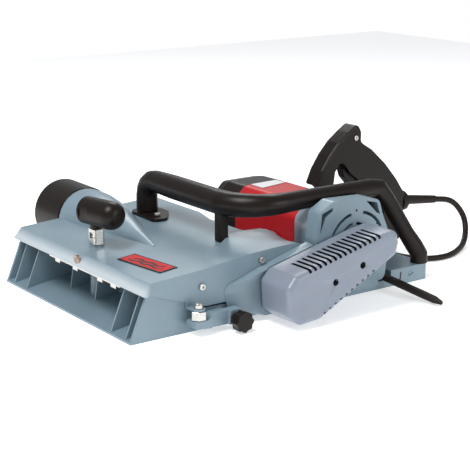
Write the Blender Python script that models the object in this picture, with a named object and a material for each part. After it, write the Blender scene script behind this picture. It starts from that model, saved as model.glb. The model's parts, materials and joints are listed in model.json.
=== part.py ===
"""Wide hand-guided drum sander with a belt drive, a front shoe that sets the depth and a mains lead.

Metres, +Z up. The machine stands on its soles at z = 0. +Y runs from the front shoe to the rear
handle, and +X points to the belt side. The origin is under the rear sole.
"""

import math

import bmesh
import bpy
from mathutils import Vector

# Overall frame
GAP = 0.0003                 # clearance between touching pieces
RUN = 0.00009                # radial clearance of a shaft that turns or slides in its bore
HALF_WIDTH = 0.170           # half the width of the soles and the hood
WALL = 0.003                 # hood skirt
FRONT_Y = -0.300             # front edge of the front shoe
LIP_Y = -0.272               # top front edge of the hood
LIP_Z = 0.0745
TOP_SLOPE = 0.063            # rise of the hood's top for each metre rearward
HOOD_REAR_Y = -0.050
SOLE_REAR_Y = 0.189
SOLE_THICKNESS = 0.012
RAIL_Z = 0.024               # top of the rear sole's rails

# Drum and drive
DRUM_Y, DRUM_Z = -0.083, 0.041
DRUM_RADIUS = 0.0385         # over the abrasive
CORE_RADIUS = 0.0372
DRUM_HALF_LENGTH = 0.153
CHAMBER_RADIUS = 0.0415
SHAFT_RADIUS = 0.0072
BEARING_RADIUS = 0.016
MOTOR_Y, MOTOR_Z = 0.0385, 0.0840
CASE_Y, CASE_Z = 0.0430, 0.0745  # middle of the motor housing, below the shaft
MOTOR_HALF = 0.0500          # half the height and depth of the motor housing
MOTOR_CHAMFER = 0.017
CAP_X = -0.0220              # where the end cap meets the motor housing
VENT_Y, VENT_Z = 0.0449, 0.0738  # centre of the outer vent arcs
MOTOR_SHAFT_RADIUS = 0.006
DRUM_TEETH, MOTOR_TEETH = 32, 16
TOOTH_PITCH = 0.00508
BELT_X0, BELT_X1 = 0.198, 0.218
FLANGE_X0, FLANGE_X1 = 0.1170, 0.185  # fan housing
COVER_X0, COVER_X1 = 0.1853, 0.248
COVER_WALL = 0.0025

# Front shoe
SHOE_HALF_WIDTH = 0.1665
SHOE_WALL = 0.004
SHOE_REAR_Y = -0.128
FIN_HALF = 0.0011
LONG_FINS = (-0.146, -0.110, 0.116, 0.151)
SHORT_FINS = (-0.058, 0.008)
GUIDE_PINS = (-0.055, 0.125)
GUIDE_PIN_Y = -0.1925

# Depth knob
SPINDLE_X, SPINDLE_Y = -0.014, -0.240
KNOB_Z = 0.123
KNOB_RADIUS = 0.0192
KNOB_TURN = math.radians(11)

# Dust port
PORT_Y, PORT_Z = -0.163, 0.069
PORT_RADIUS = 0.0465

# Handles
BOW_RADIUS = 0.0168
BOW_LEG_X = -0.1000          # left leg of the front bow
BOW_X, BOW_Y, BOW_Z = 0.1420, -0.1060, 0.1360
GRIP_X = 0.045               # middle plane of the rear handle
GRIP_HALF = 0.0135
TRIGGER_PIVOT = (0.1400, 0.1480)
BUTTON_Y, BUTTON_Z = 0.199, 0.133

# Side pieces
ARM_X, ARM_Y = 0.184, -0.211
CLAMP_Y, CLAMP_Z = -0.160, 0.0145
LEVER_X, LEVER_Y, LEVER_Z = 0.162, 0.108, 0.0180

# Mains lead
CABLE_RADIUS = 0.0045
COLLAR_Z = 0.0815
BOOT_TILT = math.radians(7)
COIL_X, COIL_Y = -0.100, 0.270
COIL_INNER, COIL_OUTER, COIL_HEIGHT = 0.0360, 0.0640, 0.0365
PLUG_X, PLUG_Z = -0.1860, 0.0190


# ---------------------------------------------------------------- helpers

def clear_scene():
    for item in list(bpy.data.objects):
        bpy.data.objects.remove(item, do_unlink=True)


def material(name, colour, roughness, metallic=0.0):
    made = bpy.data.materials.get(name)
    if made is None:
        made = bpy.data.materials.new(name)
        made.use_nodes = True
        shader = made.node_tree.nodes["Principled BSDF"]
        shader.inputs["Base Color"].default_value = (*colour, 1.0)
        shader.inputs["Roughness"].default_value = roughness
        shader.inputs["Metallic"].default_value = metallic
    return made


def paint():
    return material("blue_grey_paint", (0.30, 0.40, 0.46), 0.42)


def cover_paint():
    return material("lilac_grey_paint", (0.36, 0.38, 0.46), 0.40)


def black_plastic():
    return material("black_plastic", (0.018, 0.015, 0.014), 0.38)


def rubber():
    return material("black_rubber", (0.020, 0.017, 0.016), 0.60)


def red_plastic():
    return material("red_plastic", (0.70, 0.012, 0.018), 0.32)


def steel():
    return material("zinc_steel", (0.62, 0.61, 0.58), 0.30, 1.0)


def aluminium():
    return material("machined_aluminium", (0.70, 0.71, 0.72), 0.36, 1.0)


def made_object(name, bm, look):
    """Turns a bmesh into a named object, shaded smooth except at sharp corners."""
    bmesh.ops.remove_doubles(bm, verts=bm.verts, dist=1e-7)
    bmesh.ops.recalc_face_normals(bm, faces=bm.faces)
    mesh = bpy.data.meshes.new(name)
    bm.to_mesh(mesh)
    bm.free()
    mesh.shade_smooth()
    mesh.set_sharp_from_angle(angle=math.radians(35))
    item = bpy.data.objects.new(name, mesh)
    bpy.context.scene.collection.objects.link(item)
    if look is not None:
        mesh.materials.append(look)
    return item


def placed(axis, u, v, w):
    """A point from its two in-plane coordinates and its height along the axis."""
    return {"X": (w, u, v), "Y": (u, w, v), "Z": (u, v, w)}[axis]


def prism(name, axis, outline, low, high, look=None):
    """An outline extruded along X, Y or Z. Its points are (y, z), (x, z) or (x, y)."""
    bm = bmesh.new()
    ends = [[bm.verts.new(placed(axis, u, v, w)) for u, v in outline] for w in (low, high)]
    bm.faces.new(ends[0])
    bm.faces.new(list(reversed(ends[1])))
    count = len(outline)
    for i in range(count):
        j = (i + 1) % count
        bm.faces.new((ends[0][i], ends[0][j], ends[1][j], ends[1][i]))
    return made_object(name, bm, look)


def block(name, low, high, look=None):
    outline = [(low[0], low[1]), (high[0], low[1]), (high[0], high[1]), (low[0], high[1])]
    return prism(name, "Z", outline, low[2], high[2], look)


def across(direction):
    """Two unit vectors square to a direction."""
    helper = Vector((0, 0, 1)) if abs(direction.z) < 0.9 else Vector((1, 0, 0))
    side = direction.cross(helper).normalized()
    return side, side.cross(direction).normalized()


def turned(name, start, direction, profile, sides, look=None, closed=False, phase=0.0):
    """A profile of (distance along the axis, radius) revolved around an axis."""
    start = Vector(start)
    along = Vector(direction).normalized()
    side, up = across(along)
    bm = bmesh.new()
    rings = []
    for distance, radius in profile:
        centre = start + along * distance
        if radius < 1e-6:
            rings.append([bm.verts.new(centre)] * sides)
            continue
        ring = []
        for k in range(sides):
            angle = 2 * math.pi * k / sides + phase
            ring.append(bm.verts.new(centre + radius * (math.cos(angle) * side + math.sin(angle) * up)))
        rings.append(ring)
    pairs = list(zip(rings, rings[1:]))
    if closed:
        pairs.append((rings[-1], rings[0]))
    for first, second in pairs:
        for k in range(sides):
            j = (k + 1) % sides
            corners = []
            for vertex in (first[k], first[j], second[j], second[k]):
                if vertex not in corners:
                    corners.append(vertex)
            if len(corners) > 2:
                bm.faces.new(corners)
    if not closed:
        for ring in (rings[0], rings[-1]):
            if ring[0] is not ring[1]:
                bm.faces.new(ring)
    return made_object(name, bm, look)


def ring(name, start, direction, length, outer, inner, sides, look=None):
    profile = [(0, inner), (0, outer), (length, outer), (length, inner)]
    return turned(name, start, direction, profile, sides, look, closed=True)


def loft(name, sections, look=None):
    """Closed sections with the same number of points, joined in order and capped."""
    bm = bmesh.new()
    rings = [[bm.verts.new(point) for point in section] for section in sections]
    for first, second in zip(rings, rings[1:]):
        for k in range(len(first)):
            j = (k + 1) % len(first)
            bm.faces.new((first[k], first[j], second[j], second[k]))
    bm.faces.new(rings[0])
    bm.faces.new(list(reversed(rings[-1])))
    return made_object(name, bm, look)


def hull(name, points, look=None):
    bm = bmesh.new()
    for point in points:
        bm.verts.new(point)
    result = bmesh.ops.convex_hull(bm, input=bm.verts)
    spare = set(result["geom_interior"]) | set(result["geom_unused"])
    loose = [item for item in spare if isinstance(item, bmesh.types.BMVert)]
    bmesh.ops.delete(bm, geom=loose, context="VERTS")
    return made_object(name, bm, look)


def smooth_route(points, spacing):
    """Evenly spaced points along a smooth curve through the given points."""
    nodes = [Vector(point) for point in points]
    nodes = [2 * nodes[0] - nodes[1]] + nodes + [2 * nodes[-1] - nodes[-2]]
    dense = []
    for i in range(1, len(nodes) - 2):
        p0, p1, p2, p3 = nodes[i - 1:i + 3]
        for k in range(24):
            t = k / 24
            dense.append(0.5 * (2 * p1 + (p2 - p0) * t + (2 * p0 - 5 * p1 + 4 * p2 - p3) * t * t
                                + (3 * p1 - p0 - 3 * p2 + p3) * t ** 3))
    dense.append(nodes[-2])
    lengths = [0.0]
    for a, b in zip(dense, dense[1:]):
        lengths.append(lengths[-1] + (b - a).length)
    count = max(2, round(lengths[-1] / spacing))
    route = []
    j = 0
    for k in range(count + 1):
        target = lengths[-1] * k / count
        while j < len(dense) - 2 and lengths[j + 1] < target:
            j += 1
        span = lengths[j + 1] - lengths[j]
        route.append(dense[j].lerp(dense[j + 1], (target - lengths[j]) / span if span else 0))
    return route


def swept(name, route, radii, sides, look=None):
    """A round bar along a route, with its radius given at each point."""
    sections = []
    side = None
    for i, point in enumerate(route):
        ahead = route[min(i + 1, len(route) - 1)]
        behind = route[max(i - 1, 0)]
        along = (ahead - behind).normalized()
        if side is None:
            side, up = across(along)
        else:
            side = (side - along * side.dot(along)).normalized()
            up = side.cross(along)
        section = []
        for k in range(sides):
            angle = 2 * math.pi * k / sides
            section.append(point + radii[i] * (math.cos(angle) * side + math.sin(angle) * up))
        sections.append(section)
    return loft(name, sections, look)


def rounded(outline, radius, steps=4, skip=()):
    """The outline with its corners turned into arcs, except those listed in skip."""
    result = []
    count = len(outline)
    for i in range(count):
        corner = Vector(outline[i]).to_2d()
        if i in skip:
            result.append(tuple(corner))
            continue
        before = (Vector(outline[i - 1]).to_2d() - corner)
        after = (Vector(outline[(i + 1) % count]).to_2d() - corner)
        half = before.angle(after) / 2
        reach = min(radius / math.tan(half), 0.45 * before.length, 0.45 * after.length)
        actual = reach * math.tan(half)
        middle = corner + (before.normalized() + after.normalized()).normalized() * (actual / math.sin(half))
        start = corner + before.normalized() * reach - middle
        sweep = start.angle_signed(corner + after.normalized() * reach - middle)
        for k in range(steps + 1):
            turn = -sweep * k / steps
            c, s = math.cos(turn), math.sin(turn)
            result.append((middle.x + c * start.x - s * start.y, middle.y + s * start.x + c * start.y))
    return result


def boolean(target, tool, operation):
    change = target.modifiers.new(tool.name, "BOOLEAN")
    change.operation = operation
    change.solver = "EXACT"
    change.object = tool
    tool.hide_render = True
    tool.display_type = "WIRE"
    return target


def cut(target, *tools):
    for tool in tools:
        boolean(target, tool, "DIFFERENCE")
    return target


def join(target, *tools):
    for tool in tools:
        boolean(target, tool, "UNION")
    return target


def bevel(item, width, segments=2, angle=35):
    change = item.modifiers.new("bevel", "BEVEL")
    change.width = width
    change.segments = segments
    change.limit_method = "ANGLE"
    change.angle_limit = math.radians(angle)
    return item


def on_axis(name, point, pieces):
    """Hangs moving pieces from an empty on their joint's axis."""
    empty = bpy.data.objects.new(name, None)
    empty.location = point
    bpy.context.scene.collection.objects.link(empty)
    for piece in pieces:
        piece.parent = empty
        piece.location = [-c for c in point]


def top_z(y):
    """Height of the hood's flat top."""
    return LIP_Z + TOP_SLOPE * (y - LIP_Y)


def on_slope(item):
    """Leans a piece modelled on z = 0 onto the hood's sloping top."""
    for vertex in item.data.vertices:
        vertex.co.z += top_z(vertex.co.y)
    return item


def circle_points(x, y, z, radius, sides):
    """A circle in a plane of constant x."""
    return [(x, y + radius * math.cos(2 * math.pi * k / sides), z + radius * math.sin(2 * math.pi * k / sides))
            for k in range(sides)]


# ---------------------------------------------------------------- hood and soles

def duct_sections(grow):
    """The dust duct: a pipe at the left edge that sinks into the hood's top towards the right."""
    stations = (
        (-0.1780, -0.1630, 0.0690, 0.0450),
        (-0.1450, -0.1640, 0.0695, 0.0448),
        (-0.1150, -0.1660, 0.0700, 0.0415),
        (-0.0750, -0.1690, 0.0715, 0.0330),
        (-0.0300, -0.1740, 0.0735, 0.0220),
        (0.0100, -0.1800, 0.0745, 0.0120),
        (0.0420, -0.1850, 0.0745, 0.0065),
    )
    return [circle_points(x, y, z, radius + grow, 28) for x, y, z, radius in stations]


def shoulder_sections():
    """The raised, wavy shoulder on the hood's belt side, as heights over the flat top in mm."""
    rows = (
        (-0.190, (0.1300, -2.0), (0.1380, -2.0), (0.1460, -2.0), (0.1540, -2.0), (0.1620, -2.0), (0.1697, -1.0)),
        (-0.165, (0.1170, -1.0), (0.1270, 0.6), (0.1370, 1.6), (0.1470, 2.2), (0.1590, 2.4), (0.1697, 1.8)),
        (-0.126, (0.1010, -1.0), (0.1090, 3.0), (0.1220, 4.4), (0.1380, 4.8), (0.1560, 4.8), (0.1697, 3.6)),
        (-0.085, (0.0755, -1.0), (0.0790, 7.2), (0.0900, 7.0), (0.1150, 5.0), (0.1450, 4.0), (0.1697, 3.2)),
        (-0.066, (0.0755, -1.0), (0.0850, 5.0), (0.0960, 7.6), (0.1140, 6.4), (0.1410, 2.6), (0.1697, 2.4)),
        (-0.0480, (0.0780, -1.0), (0.0930, 5.4), (0.1070, 6.4), (0.1250, 2.8), (0.1430, 0.4), (0.1697, 1.6)),
        (-0.0380, (0.0840, -6.0), (0.0950, 0.0), (0.1090, 1.0), (0.1250, -2.0), (0.1430, -4.0), (0.1697, -1.6)),
    )
    sections = []
    for y, *heights in rows:
        section = [(x, y, top_z(y) + height / 1000) for x, height in heights]
        sections.append([(heights[0][0], y, 0.0760 if y < -0.05 else 0.066)] + section + [(0.1697, y, 0.060)])
    return sections


def main_housing():
    rear_wall = DRUM_Y + CHAMBER_RADIUS
    side = [
        (-0.2845, 0.0605), (LIP_Y, LIP_Z), (HOOD_REAR_Y, top_z(HOOD_REAR_Y)), (-0.040, 0.072),
        (-0.030, 0.056), (-0.030, SOLE_THICKNESS + GAP), (-0.0447, SOLE_THICKNESS + GAP),
        (-0.0447, 0.0045), (-0.126, 0.0045), (-0.126, 0.031), (-0.190, 0.031), (-0.205, 0.036),
        (-0.272, 0.0590), (-0.2790, 0.0572),
    ]
    hood = prism("main_housing", "X", side, -HALF_WIDTH, HALF_WIDTH, paint())
    shoulder = loft("shoulder_form", shoulder_sections())
    duct = loft("duct_form", duct_sections(0.0))
    join(hood, duct)
    recess = [(-0.060, -0.0470), (0.008, -0.0640), (0.074, -0.0660), (0.074, -0.020), (-0.060, -0.020)]
    cut(hood, prism("recess_form", "Z", recess, 0.0815, 0.110))
    join(hood, shoulder)
    cut(hood, block("leg_pocket_form", (0.0811, -0.1164, top_z(-0.101)), (0.0954, -0.1006, 0.110)))
    hollow = [
        (-0.300, -0.010), (-0.300, 0.0450), (-0.2790, 0.0560), (-0.2660, 0.0702), (-0.105, 0.0792),
    ]
    steps = 10
    for k in range(steps + 1):
        angle = math.radians(100) * (1 - k / steps)
        hollow.append((DRUM_Y + CHAMBER_RADIUS * math.cos(angle), DRUM_Z + CHAMBER_RADIUS * math.sin(angle)))
    hollow.append((rear_wall, -0.010))
    inner = HALF_WIDTH - WALL
    cut(hood, prism("hollow_form", "X", hollow, -inner, inner))
    cut(hood, loft("duct_hollow_form", [[(x - 0.002 if i == 0 else x, y, z) for x, y, z in section]
                                        for i, section in enumerate(duct_sections(-0.0035)[:4])]))
    for sign in (-1, 1):
        boss = turned(f"bearing_boss_{sign}", (sign * 0.1562, DRUM_Y, DRUM_Z), (sign, 0, 0),
                      [(0, 0.0215), (0.0120, 0.0215)], 28)
        join(hood, boss)
        seat = turned(f"bearing_seat_{sign}", (sign * 0.1572, DRUM_Y, DRUM_Z), (sign, 0, 0),
                      [(0, BEARING_RADIUS + GAP), (0.030, BEARING_RADIUS + GAP)], 28)
        passage = turned(f"shaft_passage_{sign}", (sign * 0.150, DRUM_Y, DRUM_Z), (sign, 0, 0),
                         [(0, 0.0100), (0.030, 0.0100)], 20)
        cut(hood, seat, passage)
    for x in GUIDE_PINS:
        socket = turned(f"guide_socket_{x}", (x, GUIDE_PIN_Y, 0.046), (0, 0, 1), [(0, 0.0075), (0.030, 0.0075)], 16)
        bore = turned(f"guide_bore_{x}", (x, GUIDE_PIN_Y, 0.040), (0, 0, 1),
                      [(0, 0.0040 + RUN), (0.030, 0.0040 + RUN)], 24)
        join(hood, socket)
        cut(hood, bore)
    spindle_boss = turned("spindle_boss_form", (SPINDLE_X, SPINDLE_Y, 0.062), (0, 0, 1),
                          [(0, 0.0115), (0.0170, 0.0095)], 20)
    spindle_bore = turned("spindle_bore_form", (SPINDLE_X, SPINDLE_Y, 0.050), (0, 0, 1),
                          [(0, 0.0040 + RUN), (0.040, 0.0040 + RUN)], 24)
    join(hood, spindle_boss)
    cut(hood, spindle_bore)
    screw_bore = turned("lip_bore_form", (0.004, -0.290, 0.0680), (0, 1, 0), [(0, 0.0022), (0.030, 0.0022)], 12)
    screw_seat = turned("lip_seat_form", (0.004, -0.2776, 0.0680), (0, -1, 0), [(0, 0.0051), (0.020, 0.0051)], 16)
    cut(hood, screw_bore, screw_seat)
    arm_lug = prism("arm_lug_form", "Z", rounded([(0.1672, -0.2200), (0.1920, -0.2190), (0.1920, -0.2030),
                                                  (0.1672, -0.2020)], 0.007, 4, skip=(0, 3)), 0.0332, 0.0358)
    arm_web = block("arm_web_form", (0.1674, -0.2200, 0.0340), (0.1698, -0.2020, 0.0450))
    join(hood, arm_lug, arm_web)
    arm_bore = turned("arm_bore_form", (ARM_X, ARM_Y, 0.030), (0, 0, 1), [(0, 0.0044), (0.010, 0.0044)], 16)
    cut(hood, arm_bore)
    for y, z in ((-0.197, 0.0575), (-0.104, 0.0770)):
        cut(hood, turned(f"side_bore_{y}", (0.160, y, z), (1, 0, 0), [(0, 0.0026), (0.030, 0.0026)], 12))
    return hood


def rear_sole():
    plate = block("rear_sole", (-HALF_WIDTH, -0.0444, 0), (HALF_WIDTH, SOLE_REAR_Y, SOLE_THICKNESS), aluminium())
    cross = block("cross_member_form", (-HALF_WIDTH, 0.160, 0.006), (HALF_WIDTH, SOLE_REAR_Y, RAIL_Z))
    far_rail = block("far_rail_form", (-HALF_WIDTH, -0.029, 0.006), (-HALF_WIDTH + 0.012, 0.170, RAIL_Z))
    near_rail = block("near_rail_form", (HALF_WIDTH - 0.045, 0.122, 0.006), (HALF_WIDTH, 0.170, RAIL_Z))
    join(plate, cross, far_rail, near_rail)
    cut(plate, turned("bow_bore_form", (0.1600, 0.1800, 0.010), (0, 0, 1), [(0, 0.0028), (0.030, 0.0028)], 12))
    return plate


def rear_end_strip():
    return bevel(block("rear_end_strip", (-0.150, SOLE_REAR_Y + GAP, 0.003), (0.166, SOLE_REAR_Y + 0.004, 0.021),
                       rubber()), 0.0008)


def front_shoe():
    side = [
        (FRONT_Y, 0.0), (FRONT_Y, 0.0028), (-0.222, 0.0150), (-0.2085, 0.0600), (-0.2040, 0.0600),
        (-0.2040, 0.0240), (SHOE_REAR_Y - 0.004, 0.0240), (SHOE_REAR_Y, 0.0200), (SHOE_REAR_Y, 0.0),
    ]
    shoe = prism("front_shoe", "X", side, -SHOE_HALF_WIDTH, SHOE_HALF_WIDTH, paint())
    wall = [
        (FRONT_Y, 0.0), (-0.277, 0.0550), (-0.2655, 0.0635), (-0.2085, 0.0635), (-0.204, 0.0400),
        (-0.194, 0.0272), (-0.150, 0.0272), (-0.150, 0.0),
    ]
    for sign in (-1, 1):
        edges = sorted((sign * SHOE_HALF_WIDTH, sign * (SHOE_HALF_WIDTH - SHOE_WALL)))
        join(shoe, prism(f"shoe_wall_form_{sign}", "X", wall, *edges))
    for x in LONG_FINS:
        fin = [(-0.2985, 0.001), (-0.2765, 0.0550), (-0.2655, 0.0625), (-0.2050, 0.0590), (-0.2050, 0.001)]
        join(shoe, prism(f"fin_form_{x}", "X", fin, x - FIN_HALF, x + FIN_HALF))
    for x in SHORT_FINS:
        fin = [(-0.2590, 0.001), (-0.2530, 0.0360), (-0.2470, 0.0590), (-0.2050, 0.0590), (-0.2050, 0.001)]
        join(shoe, prism(f"fin_form_{x}", "X", fin, x - FIN_HALF, x + FIN_HALF))
    nut_boss = turned("nut_boss_form", (SPINDLE_X, SPINDLE_Y, 0.008), (0, 0, 1), [(0, 0.0100), (0.032, 0.0090)], 20)
    nut_bore = turned("nut_bore_form", (SPINDLE_X, SPINDLE_Y, 0.0160), (0, 0, 1),
                      [(0, 0.0040 + RUN), (0.050, 0.0040 + RUN)], 24)
    join(shoe, nut_boss)
    cut(shoe, nut_bore)
    for x in GUIDE_PINS:
        cut(shoe, turned(f"pin_seat_form_{x}", (x, GUIDE_PIN_Y, 0.006), (0, 0, 1),
                         [(0, 0.0043), (0.050, 0.0043)], 16))
    return shoe


def shoe_guide_pin(side, x):
    return turned(f"shoe_guide_pin_{side}", (x, GUIDE_PIN_Y, 0.0063), (0, 0, 1),
                  [(0, 0.0032), (0.0008, 0.0040), (0.0540, 0.0040), (0.0552, 0.0030)], 16, steel())


# ---------------------------------------------------------------- drum and drive

def drum_core():
    ends = [
        (-0.1690, 0.0060), (-0.1680, SHAFT_RADIUS), (-DRUM_HALF_LENGTH, SHAFT_RADIUS),
        (-DRUM_HALF_LENGTH, CORE_RADIUS), (DRUM_HALF_LENGTH, CORE_RADIUS), (DRUM_HALF_LENGTH, SHAFT_RADIUS),
        (0.2240, SHAFT_RADIUS), (0.2250, 0.0060),
    ]
    return turned("drum_core", (0, DRUM_Y, DRUM_Z), (1, 0, 0), ends, 40, aluminium())


def abrasive_sleeve():
    grit = material("abrasive_cloth", (0.16, 0.075, 0.045), 0.85)
    length = 2 * DRUM_HALF_LENGTH - 0.001
    return ring("abrasive_sleeve", (-length / 2, DRUM_Y, DRUM_Z), (1, 0, 0), length,
                DRUM_RADIUS, CORE_RADIUS + GAP, 40, grit)


def bearing(name, start, direction, length, outer, inner, sides=40):
    item = ring(name, start, direction, length, outer, inner, sides, steel())
    return item


def toothed_outline(y, z, teeth, height):
    """The outline of a toothed pulley, four points for each tooth."""
    radius = teeth * TOOTH_PITCH / (2 * math.pi)
    outline = []
    for tooth in range(teeth):
        for share, r in ((0.04, radius), (0.46, radius), (0.58, radius - height), (0.92, radius - height)):
            angle = 2 * math.pi * (tooth + share) / teeth
            outline.append((y + r * math.cos(angle), z + r * math.sin(angle)))
    return outline


def toothed_pulley(name, y, z, teeth, bore):
    body = prism(name, "X", toothed_outline(y, z, teeth, 0.0014), BELT_X0 - 0.0035, BELT_X1 + 0.0035, aluminium())
    radius = teeth * TOOTH_PITCH / (2 * math.pi)
    flange = turned(f"{name}_flange_form", (BELT_X0 - 0.0050, y, z), (1, 0, 0),
                    [(0, radius + 0.0035), (0.0018, radius + 0.0035)], 32)
    hole = turned(f"{name}_bore_form", (BELT_X0 - 0.02, y, z), (1, 0, 0), [(0, bore), (0.06, bore)], 20)
    join(body, flange)
    return cut(body, hole)


def belt_loop(grow, steps=14):
    """The open belt line around both pulleys, moved outwards by grow."""
    centres = ((DRUM_Y, DRUM_Z, DRUM_TEETH), (MOTOR_Y, MOTOR_Z, MOTOR_TEETH))
    (y0, z0, n0), (y1, z1, n1) = centres
    r0, r1 = (n * TOOTH_PITCH / (2 * math.pi) + grow for n in (n0, n1))
    distance = math.hypot(y1 - y0, z1 - z0)
    heading = math.atan2(z1 - z0, y1 - y0)
    spread = math.acos((r0 - r1) / distance)
    outline = []
    for y, z, r, first, last in ((y0, z0, r0, spread, 2 * math.pi - spread), (y1, z1, r1, -spread, spread)):
        for k in range(steps + 1):
            angle = heading + first + (last - first) * k / steps
            outline.append((y + r * math.cos(angle), z + r * math.sin(angle)))
    return outline


def drive_belt():
    belt = prism("drive_belt", "X", belt_loop(0.0034), BELT_X0, BELT_X1, rubber())
    return cut(belt, prism("belt_inside_form", "X", belt_loop(0.0008), BELT_X0 - 0.01, BELT_X1 + 0.01))


# ---------------------------------------------------------------- motor

def motor_outline(half, chamfer, y=CASE_Y, z=CASE_Z):
    return [
        (y - half + chamfer, z + half), (y + half - chamfer, z + half), (y + half, z + half - chamfer),
        (y + half, z - half + chamfer), (y + half - chamfer, z - half), (y - half + chamfer, z - half),
        (y - half, z - half + chamfer), (y - half, z + half - chamfer),
    ]


def motor_housing():
    outline = rounded(motor_outline(MOTOR_HALF, MOTOR_CHAMFER), 0.012, 3)
    shell = prism("motor_housing", "X", outline, CAP_X + GAP, FLANGE_X0 - GAP, red_plastic())
    return cut(shell, turned("motor_bore_form", (-0.03, MOTOR_Y, MOTOR_Z), (1, 0, 0),
                             [(0, 0.0368), (0.16, 0.0368)], 40))


def motor_end_cap():
    def section(x, scale):
        return [(x, y, z) for y, z in rounded(motor_outline(MOTOR_HALF * scale, MOTOR_CHAMFER * scale), 0.011, 3)]
    cap = loft("motor_end_cap", [
        section(CAP_X, 0.995), section(-0.0620, 0.985), section(-0.0780, 0.93), section(-0.0880, 0.78),
    ], black_plastic())
    hollow = turned("cap_bore_form", (-0.010, MOTOR_Y, MOTOR_Z), (-1, 0, 0), [(0, 0.0360), (0.060, 0.0340)], 32)
    seat = turned("cap_seat_form", (-0.060, MOTOR_Y, MOTOR_Z), (-1, 0, 0), [(0, 0.0113), (0.0250, 0.0113)], 20)
    cut(cap, hollow, seat)
    for k in range(7):
        z = MOTOR_Z - 0.036 + 0.0105 * k
        for end, y in (("front", MOTOR_Y - 0.023), ("rear", MOTOR_Y + 0.023)):
            cut(cap, block(f"cap_vent_form_{end}_{k}", (-0.110, y - 0.0090, z - 0.0020), (-0.070, y + 0.0090, z + 0.0020)))
    return cap


def motor_stator():
    return ring("motor_stator", (0.000, MOTOR_Y, MOTOR_Z), (1, 0, 0), 0.080, 0.0365, 0.0220, 32,
                material("laminated_steel", (0.20, 0.19, 0.18), 0.5, 1.0))


def armature():
    copper = material("copper_winding", (0.50, 0.20, 0.10), 0.35, 1.0)
    r = MOTOR_SHAFT_RADIUS
    return turned("armature", (0, MOTOR_Y, MOTOR_Z), (1, 0, 0), [
        (-0.0850, 0.0050), (-0.0840, r), (-0.0640, r), (-0.0640, 0.0140), (-0.0420, 0.0140), (-0.0420, r),
        (-0.0220, r), (-0.0160, 0.0180), (-0.0040, 0.0210), (0.0820, 0.0210), (0.0920, 0.0180),
        (0.0980, r), (0.2240, r), (0.2250, 0.0050),
    ], 28, copper)


def cooling_fan():
    fan = turned("cooling_fan", (0.1260, MOTOR_Y, MOTOR_Z), (1, 0, 0),
                 [(0, 0.0360), (0.0025, 0.0360), (0.0025, 0.0120), (0.0200, 0.0110)], 32, black_plastic())
    for k in range(8):
        angle = 2 * math.pi * k / 8
        c, s = math.cos(angle), math.sin(angle)
        blade = []
        for along, side in ((0.009, -0.0011), (0.0350, -0.0011), (0.0350, 0.0011), (0.009, 0.0011)):
            blade.append((MOTOR_Y + along * c - side * s, MOTOR_Z + along * s + side * c))
        join(fan, prism(f"blade_form_{k}", "X", blade, 0.1275, 0.1440))
    return cut(fan, turned("fan_bore_form", (0.110, MOTOR_Y, MOTOR_Z), (1, 0, 0), [(0, 0.0064), (0.05, 0.0064)], 20))


def fan_outline():
    return [
        (-0.0240, 0.0200), (-0.0255, 0.094), (-0.0210, 0.129), (0.003, 0.1415), (0.064, 0.1390),
        (0.083, 0.133), (0.0900, 0.112), (0.0990, 0.092), (0.1010, 0.060), (0.0960, 0.0200),
    ]


def arc_slot(name, y, z, radius, first, last, width, steps=6):
    """A curved slot in the fan housing's face, between two angles in degrees."""
    outline = []
    for r, order in ((radius + width / 2, range(steps + 1)), (radius - width / 2, range(steps, -1, -1))):
        for k in order:
            angle = math.radians(first + (last - first) * k / steps)
            outline.append((y + r * math.cos(angle), z + r * math.sin(angle)))
    return prism(name, "X", outline, FLANGE_X1 - 0.020, FLANGE_X1 + 0.010)


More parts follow.
